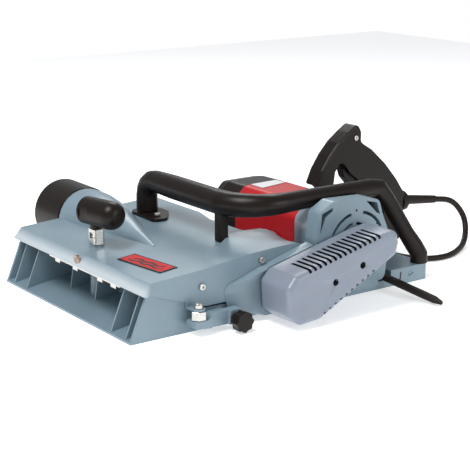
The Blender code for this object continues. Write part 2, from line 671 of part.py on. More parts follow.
def fan_housing():
    """Grows from the motor's size to the larger face plate, and stands on the rear sole."""
    body = prism("fan_housing", "X", rounded(fan_outline(), 0.009, 3), 0.1625, FLANGE_X1, paint())
    start = rounded(motor_outline(MOTOR_HALF + 0.0008, MOTOR_CHAMFER), 0.012, 2)
    grown = []
    for y, z in start:
        forward = -0.016 if y < CASE_Y else 0.003
        grown.append((y + forward * abs(y - CASE_Y) / MOTOR_HALF, min(z, CASE_Z + MOTOR_HALF + 0.0006)))
    neck = loft("fan_neck_form", [[(x, y, z) for y, z in outline] for x, outline in
                                  ((FLANGE_X0, start), (0.1600, grown), (0.1700, grown))])
    stand = block("fan_stand_form", (0.1280, 0.0000, SOLE_THICKNESS + GAP), (FLANGE_X1, 0.0850, 0.0400))
    join(body, neck, stand)
    chamber = turned("fan_chamber_form", (0.110, MOTOR_Y, MOTOR_Z), (1, 0, 0), [(0, 0.0378), (0.0705, 0.0378)], 36)
    cut(body, chamber)
    hub = turned("fan_hub_form", (0.1660, MOTOR_Y, MOTOR_Z), (1, 0, 0), [(0, 0.0160), (0.0160, 0.0180)], 24)
    join(body, hub)
    seat = turned("fan_seat_form", (0.1600, MOTOR_Y, MOTOR_Z), (1, 0, 0), [(0, 0.0133), (0.0163, 0.0133)], 24)
    shaft = turned("fan_shaft_form", (0.1500, MOTOR_Y, MOTOR_Z), (1, 0, 0), [(0, 0.0085), (0.050, 0.0085)], 20)
    cut(body, seat, shaft)
    for k, (first, last) in enumerate(((28, 78), (103, 152), (-20, 12), (168, 200))):
        cut(body, arc_slot(f"slot_form_{k}", VENT_Y, VENT_Z, 0.0470, first, last, 0.0042))
    for k, (first, last) in enumerate(((52, 82), (98, 140))):
        cut(body, arc_slot(f"inner_slot_form_{k}", MOTOR_Y + 0.0015, MOTOR_Z, 0.0225, first, last, 0.0034, 4))
    corners = (
        [(-0.0190, 0.100), (-0.0160, 0.127), (0.0020, 0.133), (0.0020, 0.129), (-0.0095, 0.122)],
        [(0.0600, 0.1345), (0.0790, 0.1300), (0.0850, 0.1130), (0.0790, 0.1160)],
    )
    for k, outline in enumerate(corners):
        cut(body, prism(f"corner_vent_form_{k}", "X", outline, FLANGE_X1 - 0.012, FLANGE_X1 + 0.010))
    return body


def motor_saddle():
    """The wavy cast cradle between the hood's rear edge and the motor."""
    outline = [(-0.024, 0.0480), (-0.024, 0.0620), (0.000, 0.0660), (0.022, 0.0655), (0.040, 0.0730),
               (0.055, 0.0795), (0.075, 0.0795), (0.088, 0.0740), (0.100, 0.0700), (0.112, 0.0720), (0.112, 0.0480)]
    saddle = prism("motor_saddle", "Y", outline, -0.0297, -0.0090, paint())
    return bevel(saddle, 0.0010, 1)


# ---------------------------------------------------------------- belt case

def cover_outline(grow=0.0):
    """The rounded, slanted outline of the belt cover."""
    corners = [
        (-0.0660, 0.0090), (-0.0980, 0.0065), (-0.1170, 0.0200), (-0.1195, 0.0580), (-0.1060, 0.0720),
        (0.0300, 0.1040), (0.0610, 0.1080), (0.0655, 0.0900), (0.0610, 0.0740), (0.0300, 0.0580),
    ]
    if grow:
        corners = inset(corners, grow)
    return corners


def inset(corners, distance):
    """A polygon moved inwards by a distance, corner by corner."""
    result = []
    count = len(corners)
    area = sum(corners[i][0] * corners[(i + 1) % count][1] - corners[(i + 1) % count][0] * corners[i][1]
               for i in range(count))
    turn = 1 if area > 0 else -1
    for i in range(count):
        corner = Vector(corners[i])
        before = (corner - Vector(corners[i - 1])).normalized()
        after = (Vector(corners[(i + 1) % count]) - corner).normalized()
        normal = (Vector((-before.y, before.x)) + Vector((-after.y, after.x))).normalized() * turn
        size = distance / max(0.3, normal.dot(Vector((-before.y, before.x)) * turn))
        result.append(tuple(corner + normal * size))
    return result


def belt_housing():
    """The cast back of the belt case, wider at the hood than at the cover."""
    front = rounded([(-0.1180, 0.0065), (-0.1180, 0.0560), (-0.1040, 0.0700), (-0.0300, 0.0880),
                     (-0.0300, 0.0065)], 0.012, 4, skip=(3, 4))
    back = rounded([(-0.1560, 0.0165), (-0.1660, 0.0500), (-0.1080, 0.0690), (-0.0300, 0.0900),
                    (-0.0300, 0.0045)], 0.012, 4, skip=(3, 4))
    sections = [
        [(HALF_WIDTH + GAP, y, z) for y, z in back],
        [(0.1765, 0.35 * y1 + 0.65 * y0, 0.35 * z1 + 0.65 * z0) for (y0, z0), (y1, z1) in zip(back, front)],
        [(0.1850, y, z) for y, z in front],
    ]
    body = loft("belt_housing", sections, paint())
    passage = turned("belt_shaft_form", (0.160, DRUM_Y, DRUM_Z), (1, 0, 0), [(0, 0.0100), (0.040, 0.0100)], 20)
    seat = turned("belt_seat_form", (0.160, DRUM_Y, DRUM_Z), (1, 0, 0), [(0, 0.0170), (0.0140, 0.0170)], 20)
    screw = turned("belt_screw_form", (0.160, -0.104, 0.0770), (1, 0, 0), [(0, 0.0065), (0.040, 0.0065)], 16)
    return cut(body, passage, seat, screw)


def belt_cover():
    outer = rounded(cover_outline(), 0.010, 4)
    inner = rounded(inset(cover_outline(), COVER_WALL), 0.008, 4)
    shell = prism("belt_cover", "X", outer, COVER_X0, COVER_X1, cover_paint())
    bevel(shell, 0.0080, 4, 60)
    hollow = prism("cover_hollow_form", "X", inner, COVER_X0 - 0.010, COVER_X1 - COVER_WALL)
    bevel(hollow, 0.0055, 2, 60)
    cut(shell, hollow)
    for k in range(15):
        y = -0.0836 + 0.00816 * k
        z = 0.0760 + (y + 0.0890) * 0.2353
        slot = [(y - 0.0020, z - 0.0060), (y + 0.0020, z - 0.0060), (y + 0.0030, z + 0.012), (y - 0.0010, z + 0.012)]
        cut(shell, prism(f"vent_form_{k}", "X", slot, 0.2070, 0.2465))
    for k in range(10):
        y = -0.0590 + 0.0090 * k
        z = 0.0090 + (y + 0.0660) * 0.5100
        notch = [(y - 0.0024, z - 0.008), (y + 0.0024, z - 0.008), (y + 0.0004, z + 0.0065), (y - 0.0044, z + 0.0065)]
        cut(shell, prism(f"notch_form_{k}", "X", notch, 0.2300, 0.2600))
    for y, z in COVER_SCREWS:
        post = turned(f"post_form_{y}", (COVER_X0, y, z), (1, 0, 0), [(0, 0.0062), (0.0605, 0.0062)], 16)
        join(shell, post)
        head = turned(f"head_form_{y}", (COVER_X1 - 0.009, y, z), (1, 0, 0), [(0, 0.0046), (0.02, 0.0046)], 16)
        hole = turned(f"screw_form_{y}", (COVER_X0 - 0.01, y, z), (1, 0, 0), [(0, 0.0024), (0.08, 0.0024)], 12)
        cut(shell, head, hole)
    return shell


COVER_SCREWS = ((-0.0440, 0.0550), (0.0010, 0.0700))


def socket_screw(name, start, direction, head_radius, head_height, shank_radius, shank_length, drive="hex"):
    """A cap screw: start is the underside of its head, and direction points out of the head."""
    screw = turned(name, start, direction, [
        (-shank_length, shank_radius * 0.7), (-shank_length + 0.0006, shank_radius), (0, shank_radius),
        (0, head_radius), (head_height * 0.85, head_radius), (head_height, head_radius * 0.88),
    ], 18, steel())
    bite = head_height * 0.55
    tip = Vector(start) + Vector(direction).normalized() * (head_height - bite)
    if drive == "hex":
        tool = turned(f"{name}_drive_form", tip, direction, [(0, head_radius * 0.5), (0.01, head_radius * 0.5)], 6)
    else:
        side, up = across(Vector(direction).normalized())
        points = []
        for a in (-1.2 * head_radius, 1.2 * head_radius):
            for b in (-0.0006, 0.0006):
                for c in (0, 0.01):
                    points.append(tip + side * b + up * a + Vector(direction).normalized() * c)
        tool = hull(f"{name}_drive_form", points)
    return cut(screw, tool)


# ---------------------------------------------------------------- handles

def bow_route():
    """Up the far leg, across the hood, then rearward along the belt side and down to the sole."""
    turn = 0.024
    points = [(BOW_LEG_X, BOW_Y, top_z(BOW_Y + BOW_RADIUS) + 0.0045), (BOW_LEG_X, BOW_Y, 0.1020)]
    for k in range(5):
        angle = math.radians(90 * k / 4)
        points.append((BOW_LEG_X + turn * (1 - math.cos(angle)), BOW_Y, BOW_Z - turn + turn * math.sin(angle)))
    points += [(-0.0300, BOW_Y, BOW_Z), (0.0350, BOW_Y, BOW_Z)]
    bend = 0.060
    for k in range(6):
        angle = math.radians(90 * k / 5)
        points.append((BOW_X - bend * (1 - math.sin(angle)), BOW_Y + bend * (1 - math.cos(angle)),
                       BOW_Z + 0.0022 * k / 5))
    points += [(BOW_X, 0.0000, 0.1388), (BOW_X, 0.0600, 0.1390), (BOW_X, 0.1020, 0.1390),
               (0.1423, 0.1190, 0.1370), (0.1438, 0.1350, 0.1180), (0.1470, 0.1520, 0.0905),
               (0.1515, 0.1655, 0.0670), (0.1575, 0.1765, 0.0480), (0.1615, 0.1825, 0.0360),
               (0.1615, 0.1825, RAIL_Z + GAP)]
    return [Vector(point) for point in points]


def bow_radius(point):
    """Thick over the hood, slimmer along the belt side and in the rear limb."""
    if point.x < -0.070:
        return BOW_RADIUS - 0.0013
    if point.x < 0.050:
        return BOW_RADIUS
    if point.y < -0.030:
        return BOW_RADIUS - (point.y - BOW_Y) / 0.076 * 0.0038
    if point.y < 0.125:
        return 0.0127
    return 0.0116 if point.z > 0.050 else 0.0124


def bow_handle():
    route = bow_route()
    bar = swept("bow_handle", route, [bow_radius(p) for p in route], 16, black_plastic())
    leg = prism("near_leg_form", "Z", rounded([(0.0815, -0.1160), (0.0950, -0.1160), (0.0950, -0.1010),
                                               (0.0815, -0.1010)], 0.003, 3), top_z(-0.101) + GAP, BOW_Z)
    join(bar, leg)
    bore = turned("leg_bore_form", (BOW_LEG_X, BOW_Y, 0.070), (0, 0, 1), [(0, 0.0030), (0.040, 0.0030)], 12)
    rear = turned("limb_bore_form", (0.1600, 0.1800, 0.010), (0, 0, 1), [(0, 0.0028), (0.030, 0.0028)], 12)
    return cut(bar, bore, rear)


def bow_handle_foot():
    outline = rounded([(-0.1190, -0.1240), (-0.0500, -0.1270), (-0.0440, -0.1080), (-0.0740, -0.0860),
                       (-0.1190, -0.0860)], 0.010, 4)
    foot = on_slope(prism("bow_handle_foot", "Z", outline, GAP, 0.0042, black_plastic()))
    hole = turned("foot_bore_form", (-0.0640, -0.1120, 0.070), (0, 0, 1), [(0, 0.0024), (0.040, 0.0024)], 12)
    return cut(foot, hole)


def grip_outline():
    return [
        (0.0773, 0.1273), (0.0873, 0.1493), (0.1013, 0.1693), (0.1173, 0.1863), (0.1353, 0.1993),
        (0.1500, 0.2085), (0.1547, 0.2077), (0.1607, 0.1987), (0.1600, 0.1850), (0.1637, 0.1807),
        (0.1817, 0.1697), (0.2077, 0.1467), (0.2307, 0.1207), (0.2437, 0.1027), (0.2470, 0.0980),
        (0.2470, 0.0645), (0.2490, 0.0600), (0.2450, 0.0360), (0.2400, RAIL_Z + GAP),
        (0.1065, RAIL_Z + GAP), (0.1065, 0.1080), (0.0860, 0.1273),
    ]


def grip_hole():
    return [
        (0.1200, 0.1120), (0.1090, 0.1260), (0.1117, 0.1447), (0.1200, 0.1560), (0.1280, 0.1560),
        (0.1400, 0.1400), (0.1860, 0.1060), (0.2080, 0.0720), (0.2000, 0.0600), (0.1500, 0.0600), (0.1360, 0.0700),
    ]


def trigger_slot():
    return [(0.1250, 0.1480), (0.1420, 0.1620), (0.1560, 0.1560), (0.2020, 0.1220), (0.1860, 0.1000), (0.1380, 0.1300)]


def rear_handle(side):
    """Half of the rear D handle. Both halves meet at the handle's middle plane."""
    left = side == "left"
    low, high = (-GRIP_HALF, -GAP / 2) if left else (GAP / 2, GRIP_HALF)
    half = prism(f"rear_handle_{side}", "X", rounded(grip_outline(), 0.012, 2), GRIP_X + low, GRIP_X + high, black_plastic())
    hole = prism(f"grip_hole_form_{side}", "X", grip_hole(), GRIP_X - 0.03, GRIP_X + 0.03)
    slot = prism(f"trigger_slot_form_{side}", "X", trigger_slot(), GRIP_X - 0.0075, GRIP_X + 0.0075)
    cut(half, hole, slot)
    outer = GRIP_X + (low if left else high)
    edge = half.modifiers.new("soft_edge", "BEVEL")
    edge.width = 0.0035
    edge.segments = 2
    edge.limit_method = "WEIGHT"
    mark_rim(half, outer)
    pin = turned(f"trigger_pin_form_{side}", (GRIP_X - 0.0130, *TRIGGER_PIVOT), (1, 0, 0),
                 [(0, 0.0019), (0.0260, 0.0019)], 12)
    screw = turned(f"grip_screw_form_{side}", (GRIP_X - 0.0100, 0.1490, 0.1905), (1, 0, 0),
                   [(0, 0.0018), (0.0700, 0.0018)], 12)
    head = turned(f"grip_head_form_{side}", (GRIP_X + 0.0125, 0.1490, 0.1905), (1, 0, 0),
                  [(0, 0.0042), (0.0300, 0.0042)], 16)
    cable = turned(f"grip_cable_form_{side}", (GRIP_X, 0.2200, COLLAR_Z), (0, 1, 0),
                   [(0, 0.0063), (0.0600, 0.0063)], 16)
    cut(half, pin, screw, head, cable)
    if left:
        cut(half, turned("button_bore_form", (0.020, BUTTON_Y, BUTTON_Z), (1, 0, 0),
                         [(0, 0.0054 + RUN), (0.0260, 0.0054 + RUN)], 32))
    return half


def mark_rim(item, x):
    """Marks for bevelling the edges of the outline that lie in the plane x."""
    mesh = item.data
    weights = mesh.attributes.new("bevel_weight_edge", "FLOAT", "EDGE")
    for edge in mesh.edges:
        a, b = (mesh.vertices[i].co for i in edge.vertices)
        weights.data[edge.index].value = 1.0 if abs(a.x - x) < 1e-5 and abs(b.x - x) < 1e-5 else 0.0


def trigger():
    outline = [(0.1310, 0.1440), (0.1350, 0.1330), (0.1600, 0.1060), (0.1670, 0.1050), (0.1730, 0.1110),
               (0.1640, 0.1340), (0.1470, 0.1530), (0.1370, 0.1540)]
    item = prism("trigger", "X", rounded(outline, 0.003, 2), GRIP_X - 0.0066, GRIP_X + 0.0066,
                 material("trigger_plastic", (0.03, 0.028, 0.027), 0.45))
    return cut(item, turned("trigger_bore_form", (GRIP_X - 0.02, *TRIGGER_PIVOT), (1, 0, 0),
                            [(0, 0.0016 + RUN), (0.04, 0.0016 + RUN)], 20))


def trigger_pin():
    return turned("trigger_pin", (GRIP_X - 0.0127, *TRIGGER_PIVOT), (1, 0, 0),
                  [(0, 0.0012), (0.0004, 0.0016), (0.0250, 0.0016), (0.0254, 0.0012)], 12, steel())


def switch_block():
    outline = [(0.1770, 0.1370), (0.1960, 0.1220), (0.1880, 0.1110), (0.1800, 0.1170)]
    return prism("switch_block", "X", outline, GRIP_X - 0.0068, GRIP_X + 0.0068, black_plastic())


def lock_button():
    return turned("lock_button", (GRIP_X - GRIP_HALF - 0.0040, BUTTON_Y, BUTTON_Z), (1, 0, 0),
                  [(0, 0.0044), (0.0010, 0.0054), (0.0120, 0.0054), (0.0128, 0.0046)], 20, rubber())


# ---------------------------------------------------------------- dust port, knobs and side pieces

def dust_port_sleeve():
    outer = PORT_RADIUS
    return turned("dust_port_sleeve", (-0.1783, PORT_Y, PORT_Z), (-1, 0, 0), [
        (0, 0.0420), (0, outer - 0.0012), (0.0012, outer), (0.0700, outer + 0.0005), (0.0715, outer - 0.0008),
        (0.0715, 0.0435),
    ], 48, black_plastic(), closed=True)


def depth_knob():
    """A rounded bar across the spindle, on a short neck."""
    c, s = math.cos(KNOB_TURN), math.sin(KNOB_TURN)
    middle = Vector((SPINDLE_X + 0.006 * c, SPINDLE_Y + 0.006 * s, KNOB_Z))
    profile = [(-0.0290, 0.0100), (-0.0270, 0.0160), (-0.0240, 0.0186), (0.0240, KNOB_RADIUS)]
    for k in range(1, 5):
        angle = math.radians(80 * k / 4)
        profile.append((0.0240 + 0.0170 * math.sin(angle), KNOB_RADIUS * math.cos(angle) ** 0.7))
    knob = turned("depth_knob", middle, (c, s, 0), profile, 28, black_plastic())
    neck = turned("knob_neck_form", (SPINDLE_X, SPINDLE_Y, 0.1010), (0, 0, 1), [(0, 0.0078), (0.020, 0.0090)], 16)
    join(knob, neck)
    for sign in (-1, 1):
        side = Vector((-s, c, 0)) * sign
        points = []
        for along in (-0.021, -0.003):
            for height in (-0.0085, 0.0085):
                for depth in (0.0168, 0.030):
                    points.append(middle + Vector((c, s, 0)) * along + side * depth + Vector((0, 0, height)))
        cut(knob, hull(f"knob_panel_form_{sign}", points))
    return cut(knob, turned("knob_bore_form", (SPINDLE_X, SPINDLE_Y, 0.0900), (0, 0, 1),
                            [(0, 0.0043), (0.0230, 0.0043)], 16))


def knob_clevis():
    """The bright fork that carries the knob on top of the hood."""
    base = top_z(SPINDLE_Y) + 0.0035
    clevis = prism("knob_clevis", "Z", rounded([
        (SPINDLE_X - 0.0095, SPINDLE_Y - 0.0080), (SPINDLE_X + 0.0095, SPINDLE_Y - 0.0080),
        (SPINDLE_X + 0.0095, SPINDLE_Y + 0.0080), (SPINDLE_X - 0.0095, SPINDLE_Y + 0.0080)], 0.003, 2),
        base, 0.1005, steel())
    slot = block("clevis_slot_form", (SPINDLE_X - 0.0040, SPINDLE_Y - 0.02, base + 0.0080),
                 (SPINDLE_X + 0.0040, SPINDLE_Y - 0.0046, 0.0960))
    bore = turned("clevis_bore_form", (SPINDLE_X, SPINDLE_Y, 0.070), (0, 0, 1), [(0, 0.0043), (0.050, 0.0043)], 16)
    cross = turned("clevis_pin_form", (SPINDLE_X - 0.02, SPINDLE_Y - 0.0062, 0.0905), (1, 0, 0),
                   [(0, 0.0014), (0.04, 0.0014)], 10)
    return cut(clevis, slot, bore, cross)


def clevis_pin():
    return turned("clevis_pin", (SPINDLE_X - 0.0108, SPINDLE_Y - 0.0062, 0.0905), (1, 0, 0),
                  [(0, 0.0008), (0.0004, 0.0011), (0.0212, 0.0011), (0.0216, 0.0008)], 10, steel())


def depth_spindle():
    return turned("depth_spindle", (SPINDLE_X, SPINDLE_Y, 0.0200), (0, 0, 1),
                  [(0, 0.0030), (0.0010, 0.0040), (0.0915, 0.0040), (0.0925, 0.0032)], 16, steel())


def depth_strip():
    """The thin sheet strip with small tabs that hangs under the hood's front lip."""
    strip = block("depth_strip", (-0.083, -0.2748, 0.0528), (0.102, -0.2738, 0.0600), steel())
    for k, x in enumerate((-0.060, -0.012, 0.052, 0.086)):
        join(strip, block(f"tab_form_{k}", (x - 0.0065, -0.2748, 0.0490), (x + 0.0065, -0.2738, 0.0532)))
    return strip


def guide_arm():
    """The forged arm under the nut. It carries the clamp knob."""
    outline = [(-0.2215, 0.0115), (-0.2215, 0.0205), (-0.2020, 0.0205), (-0.1900, 0.0260), (-0.1520, 0.0270),
               (-0.1450, 0.0220), (-0.1470, 0.0080), (-0.1880, 0.0080)]
    arm = prism("guide_arm", "X", rounded(outline, 0.003, 2), ARM_X - 0.0115, ARM_X + 0.0085, paint())
    bore = turned("arm_pivot_form", (ARM_X, ARM_Y, 0.0), (0, 0, 1),
                  [(0, 0.0040 + RUN), (0.040, 0.0040 + RUN)], 24)
    stud = turned("arm_stud_form", (ARM_X - 0.005, CLAMP_Y, CLAMP_Z), (1, 0, 0),
                  [(0, 0.0030 + RUN), (0.030, 0.0030 + RUN)], 24)
    step = block("arm_step_form", (ARM_X + 0.0040, -0.1960, 0.0), (ARM_X + 0.020, -0.1690, 0.040))
    relief = block("arm_relief_form", (ARM_X - 0.020, -0.1700, 0.0), (ARM_X - 0.0060, -0.130, 0.040))
    return cut(arm, bore, stud, step, relief)


def arm_bolt():
    """The pivot bolt, with a domed bright head over the nut."""
    return turned("arm_bolt", (ARM_X, ARM_Y, 0.0080), (0, 0, 1), [
        (0, 0.0030), (0.0010, 0.0040), (0.0281, 0.0040), (0.0281, 0.0061), (0.0325, 0.0061), (0.0345, 0.0050),
        (0.0355, 0.0026),
    ], 16, steel())


def arm_cap_nut():
    """The hex nut between the arm and the lug on the hood."""
    nut = turned("arm_nut", (ARM_X, ARM_Y, 0.0209), (0, 0, 1), [
        (0, 0.0092), (0.0008, 0.0101), (0.0108, 0.0101), (0.0116, 0.0092)], 6, steel())
    return cut(nut, turned("nut_bore_form_arm", (ARM_X, ARM_Y, 0.010), (0, 0, 1), [(0, 0.0043), (0.040, 0.0043)], 16))


def clamp_knob():
    """A fluted star knob with a collar, in line with its stud."""
    x0 = ARM_X + 0.0088
    outline = []
    for k in range(40):
        angle = 2 * math.pi * k / 40
        r = 0.0129 + 0.0010 * math.cos(8 * angle)
        outline.append((CLAMP_Y + r * math.cos(angle), CLAMP_Z + r * math.sin(angle)))
    knob = prism("clamp_knob", "X", outline, x0 + 0.0060, x0 + 0.0210, black_plastic())
    bevel(knob, 0.0016, 2, 50)
    collar = turned("clamp_collar_form", (x0, CLAMP_Y, CLAMP_Z), (1, 0, 0), [(0, 0.0082), (0.0080, 0.0100)], 20)
    join(knob, collar)
    return cut(knob, turned("clamp_bore_form", (x0 - 0.01, CLAMP_Y, CLAMP_Z), (1, 0, 0),
                            [(0, 0.0033), (0.0240, 0.0033)], 14))


def clamp_stud():
    return turned("clamp_stud", (ARM_X - 0.0047, CLAMP_Y, CLAMP_Z), (1, 0, 0),
                  [(0, 0.0024), (0.0008, 0.0030), (0.0265, 0.0030), (0.0273, 0.0024)], 14, steel())


def parking_lever():
    """The flat black bar beside the rear sole, pointing outwards and down to the ground."""
    tip = Vector((0.2760, 0.1150, 0.0058))
    root = Vector((LEVER_X, LEVER_Y, LEVER_Z))
    along = (tip - root).normalized()
    side = Vector((0, 0, 1)).cross(along).normalized()
    up = along.cross(side)
    sections = []
    for distance, half, height in ((-0.010, 0.0050, 0.0030), (-0.007, 0.0062, 0.0042), (0.084, 0.0060, 0.0044),
                                   (0.104, 0.0056, 0.0042), (0.117, 0.0020, 0.0024)):
        centre = root + along * distance
        sections.append([centre + side * a * half + up * b * height for a, b in
                         ((-1, -0.5), (-0.6, -1), (0.6, -1), (1, -0.5), (1, 0.5), (0.6, 1), (-0.6, 1), (-1, 0.5))])
    bar = loft("parking_lever", sections, rubber())
    return cut(bar, turned("lever_bore_form", (LEVER_X, LEVER_Y, 0.0), (0, 0, 1), [(0, 0.0031 + RUN), (0.05, 0.0031 + RUN)], 24))


def parking_pivot():
    return turned("parking_pivot", (LEVER_X, LEVER_Y, 0.0123), (0, 0, 1), [
        (0, 0.0031), (0.0118, 0.0031), (0.0118, 0.0052), (0.0142, 0.0052), (0.0147, 0.0046)], 16, steel())


def label_plate():
    """The red and black plate on the hood's sloping top."""
    c, s = math.cos(math.radians(6)), math.sin(math.radians(6))
    corners = []
    for a, b in ((-0.0440, -0.0145), (0.0440, -0.0145), (0.0440, 0.0145), (-0.0440, 0.0145)):
        corners.append((0.0998 + a * c - b * s, -0.2325 + a * s + b * c))
    return on_slope(prism("label_plate", "Z", corners, GAP, 0.0011, material("label_red", (0.62, 0.01, 0.02), 0.35)))


def motor_label():
    points = []
    for x, y in ((-0.0195, 0.0200), (0.0085, 0.0200), (-0.0010, 0.0690), (-0.0215, 0.0660)):
        for z in (CASE_Z + MOTOR_HALF + GAP, CASE_Z + MOTOR_HALF + 0.0009):
            points.append((x, y, z))
    return hull("motor_label", points, material("label_white", (0.80, 0.80, 0.80), 0.4))


# ---------------------------------------------------------------- mains lead

def cable_collar():
    return turned("cable_collar", (GRIP_X, 0.2473, COLLAR_Z), (0, 1, 0), [
        (0, 0.0062), (0, 0.0150), (0.0020, 0.0156), (0.0095, 0.0150), (0.0112, 0.0130), (0.0112, 0.0062),
    ], 24, rubber(), closed=True)


def boot_line(distance):
    """A point on the boot's axis, which tilts down from the collar."""
    return Vector((GRIP_X, 0.2602 + distance * math.cos(BOOT_TILT), COLLAR_Z - distance * math.sin(BOOT_TILT)))


def cable_boot():
    direction = boot_line(1) - boot_line(0)
    return turned("cable_boot", boot_line(0), direction, [
        (0, 0.0074), (0.0200, 0.0070), (0.0560, 0.0061), (0.0640, 0.0058), (0.0640, 0.0048), (0, 0.0048),
    ], 20, rubber(), closed=True)


def cable_route():
    """From inside the boot through the air, down to the ground, behind the sole and on to the coil."""
    start = boot_line(0.0643)
    return [
        tuple(start), (0.0455, 0.3490, 0.0695), (0.0485, 0.3620, 0.0630), (0.0530, 0.3710, 0.0520),
        (0.0590, 0.3750, 0.0390), (0.0660, 0.3720, 0.0260), (0.0755, 0.3620, 0.0145), (0.0880, 0.3440, 0.0070),
        (0.1010, 0.3210, 0.0050), (0.1110, 0.2980, 0.0048), (0.1140, 0.2760, 0.0048), (0.1090, 0.2560, 0.0048),
        (0.0965, 0.2400, 0.0048), (0.0785, 0.2300, 0.0048), (0.0550, 0.2245, 0.0048), (0.0200, 0.2190, 0.0048),
        (-0.0200, 0.2100, 0.0048), (-0.0580, 0.2035, 0.0048), (-0.0900, 0.2011, 0.0048), (-0.1010, 0.2010, 0.0048),
    ]


def mains_cable():
    route = smooth_route(cable_route(), 0.0135)
    return swept("mains_cable", route, [CABLE_RADIUS] * len(route), 8, rubber())


def cable_coil():
    profile = [(0, COIL_INNER + 0.003), (0, COIL_OUTER - 0.003), (0.003, COIL_OUTER),
               (COIL_HEIGHT - 0.003, COIL_OUTER), (COIL_HEIGHT, COIL_OUTER - 0.003),
               (COIL_HEIGHT, COIL_INNER + 0.003), (COIL_HEIGHT - 0.003, COIL_INNER), (0.003, COIL_INNER)]
    return turned("cable_coil", (COIL_X, COIL_Y, GAP), (0, 0, 1), profile, 40, rubber(), closed=True)


def mains_plug():
    plug = turned("mains_plug", (PLUG_X, COIL_Y + 0.002, PLUG_Z), (0, 1, 0), [
        (0, 0.0060), (0.0200, 0.0075), (0.0270, 0.0150), (0.0360, 0.0185), (0.0620, 0.0187), (0.0640, 0.0175),
    ], 24, rubber())
    for sign in (-1, 1):
        pin = turned(f"plug_pin_form_{sign}", (PLUG_X + sign * 0.0095, COIL_Y + 0.060, PLUG_Z), (0, 1, 0),
                     [(0, 0.0024), (0.0235, 0.0024), (0.0250, 0.0014)], 12)
        join(plug, pin)
    return plug


# ---------------------------------------------------------------- assembly

def build():
    clear_scene()
    main_housing()
    rear_sole()
    rear_end_strip()
    bearing("drum_bearing_left", (-0.1575, DRUM_Y, DRUM_Z), (-1, 0, 0), 0.0090, BEARING_RADIUS, SHAFT_RADIUS + RUN)
    bearing("drum_bearing_right", (0.1575, DRUM_Y, DRUM_Z), (1, 0, 0), 0.0090, BEARING_RADIUS, SHAFT_RADIUS + RUN)
    belt_housing()
    belt_cover()
    drive_belt()
    for end, (y, z) in zip(("front", "rear"), COVER_SCREWS):
        socket_screw(f"cover_screw_{end}", (COVER_X1 - 0.0087, y, z), (1, 0, 0), 0.0042, 0.0040, 0.0020, 0.0500)
    fan_housing()
    motor_housing()
    motor_end_cap()
    motor_stator()
    bearing("motor_bearing_left", (-0.0765, MOTOR_Y, MOTOR_Z), (-1, 0, 0), 0.0080, 0.0110,
            MOTOR_SHAFT_RADIUS + RUN, 40)
    bearing("motor_bearing_right", (0.1665, MOTOR_Y, MOTOR_Z), (1, 0, 0), 0.0090, 0.0130,
            MOTOR_SHAFT_RADIUS + RUN, 40)
    motor_saddle()
    bow_handle()
    bow_handle_foot()
    socket_screw("bow_handle_screw", (-0.0640, -0.1120, top_z(-0.1070) + 0.0045), (0, 0, 1), 0.0046, 0.0036,
                 0.0020, 0.0028)
    dust_port_sleeve()
    for name, y, z in (("side_screw_front", -0.197, 0.0575), ("side_screw_rear", -0.104, 0.0770)):
        socket_screw(name, (HALF_WIDTH + GAP, y, z), (1, 0, 0), 0.0044, 0.0036, 0.0023, 0.0080)
    socket_screw("lip_screw", (0.004, -0.2779, 0.0680), (0, -1, 0), 0.0046, 0.0040, 0.0019, 0.0050, "slot")
    depth_strip()
    label_plate()
    motor_label()
    rear_handle("left")
    rear_handle("right")
    socket_screw("handle_screw", (GRIP_X + 0.0128, 0.1490, 0.1905), (1, 0, 0), 0.0038, 0.0026, 0.0015, 0.0200)
    switch_block()
    trigger_pin()
    arm_bolt()
    arm_cap_nut()
    parking_pivot()
    cable_collar()
    cable_boot()
    mains_cable()
    cable_coil()
    mains_plug()
    on_axis("drum_axis", (0, DRUM_Y, DRUM_Z),
            [drum_core(), abrasive_sleeve(), toothed_pulley("drum_pulley", DRUM_Y, DRUM_Z, DRUM_TEETH,
                                                            SHAFT_RADIUS + GAP)])
    on_axis("motor_axis", (0, MOTOR_Y, MOTOR_Z),
            [armature(), cooling_fan(), toothed_pulley("motor_pulley", MOTOR_Y, MOTOR_Z, MOTOR_TEETH,
                                                       MOTOR_SHAFT_RADIUS + GAP)])
    on_axis("shoe_slide_axis", (0, GUIDE_PIN_Y, 0),
            [front_shoe(), shoe_guide_pin("left", GUIDE_PINS[0]), shoe_guide_pin("right", GUIDE_PINS[1])])
    on_axis("depth_knob_axis", (SPINDLE_X, SPINDLE_Y, 0),
            [depth_knob(), knob_clevis(), clevis_pin(), depth_spindle()])
    on_axis("trigger_axis", (GRIP_X, *TRIGGER_PIVOT), [trigger()])
    on_axis("lock_button_axis", (GRIP_X, BUTTON_Y, BUTTON_Z), [lock_button()])
    on_axis("guide_arm_axis", (ARM_X, ARM_Y, 0), [guide_arm()])
    on_axis("clamp_knob_axis", (ARM_X, CLAMP_Y, CLAMP_Z), [clamp_knob(), clamp_stud()])
    on_axis("parking_lever_axis", (LEVER_X, LEVER_Y, LEVER_Z), [parking_lever()])


build()
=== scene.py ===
"""Drum sander: the finish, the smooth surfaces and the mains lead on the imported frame."""
import json
import math

import bmesh
import bpy
from mathutils import Matrix, Vector

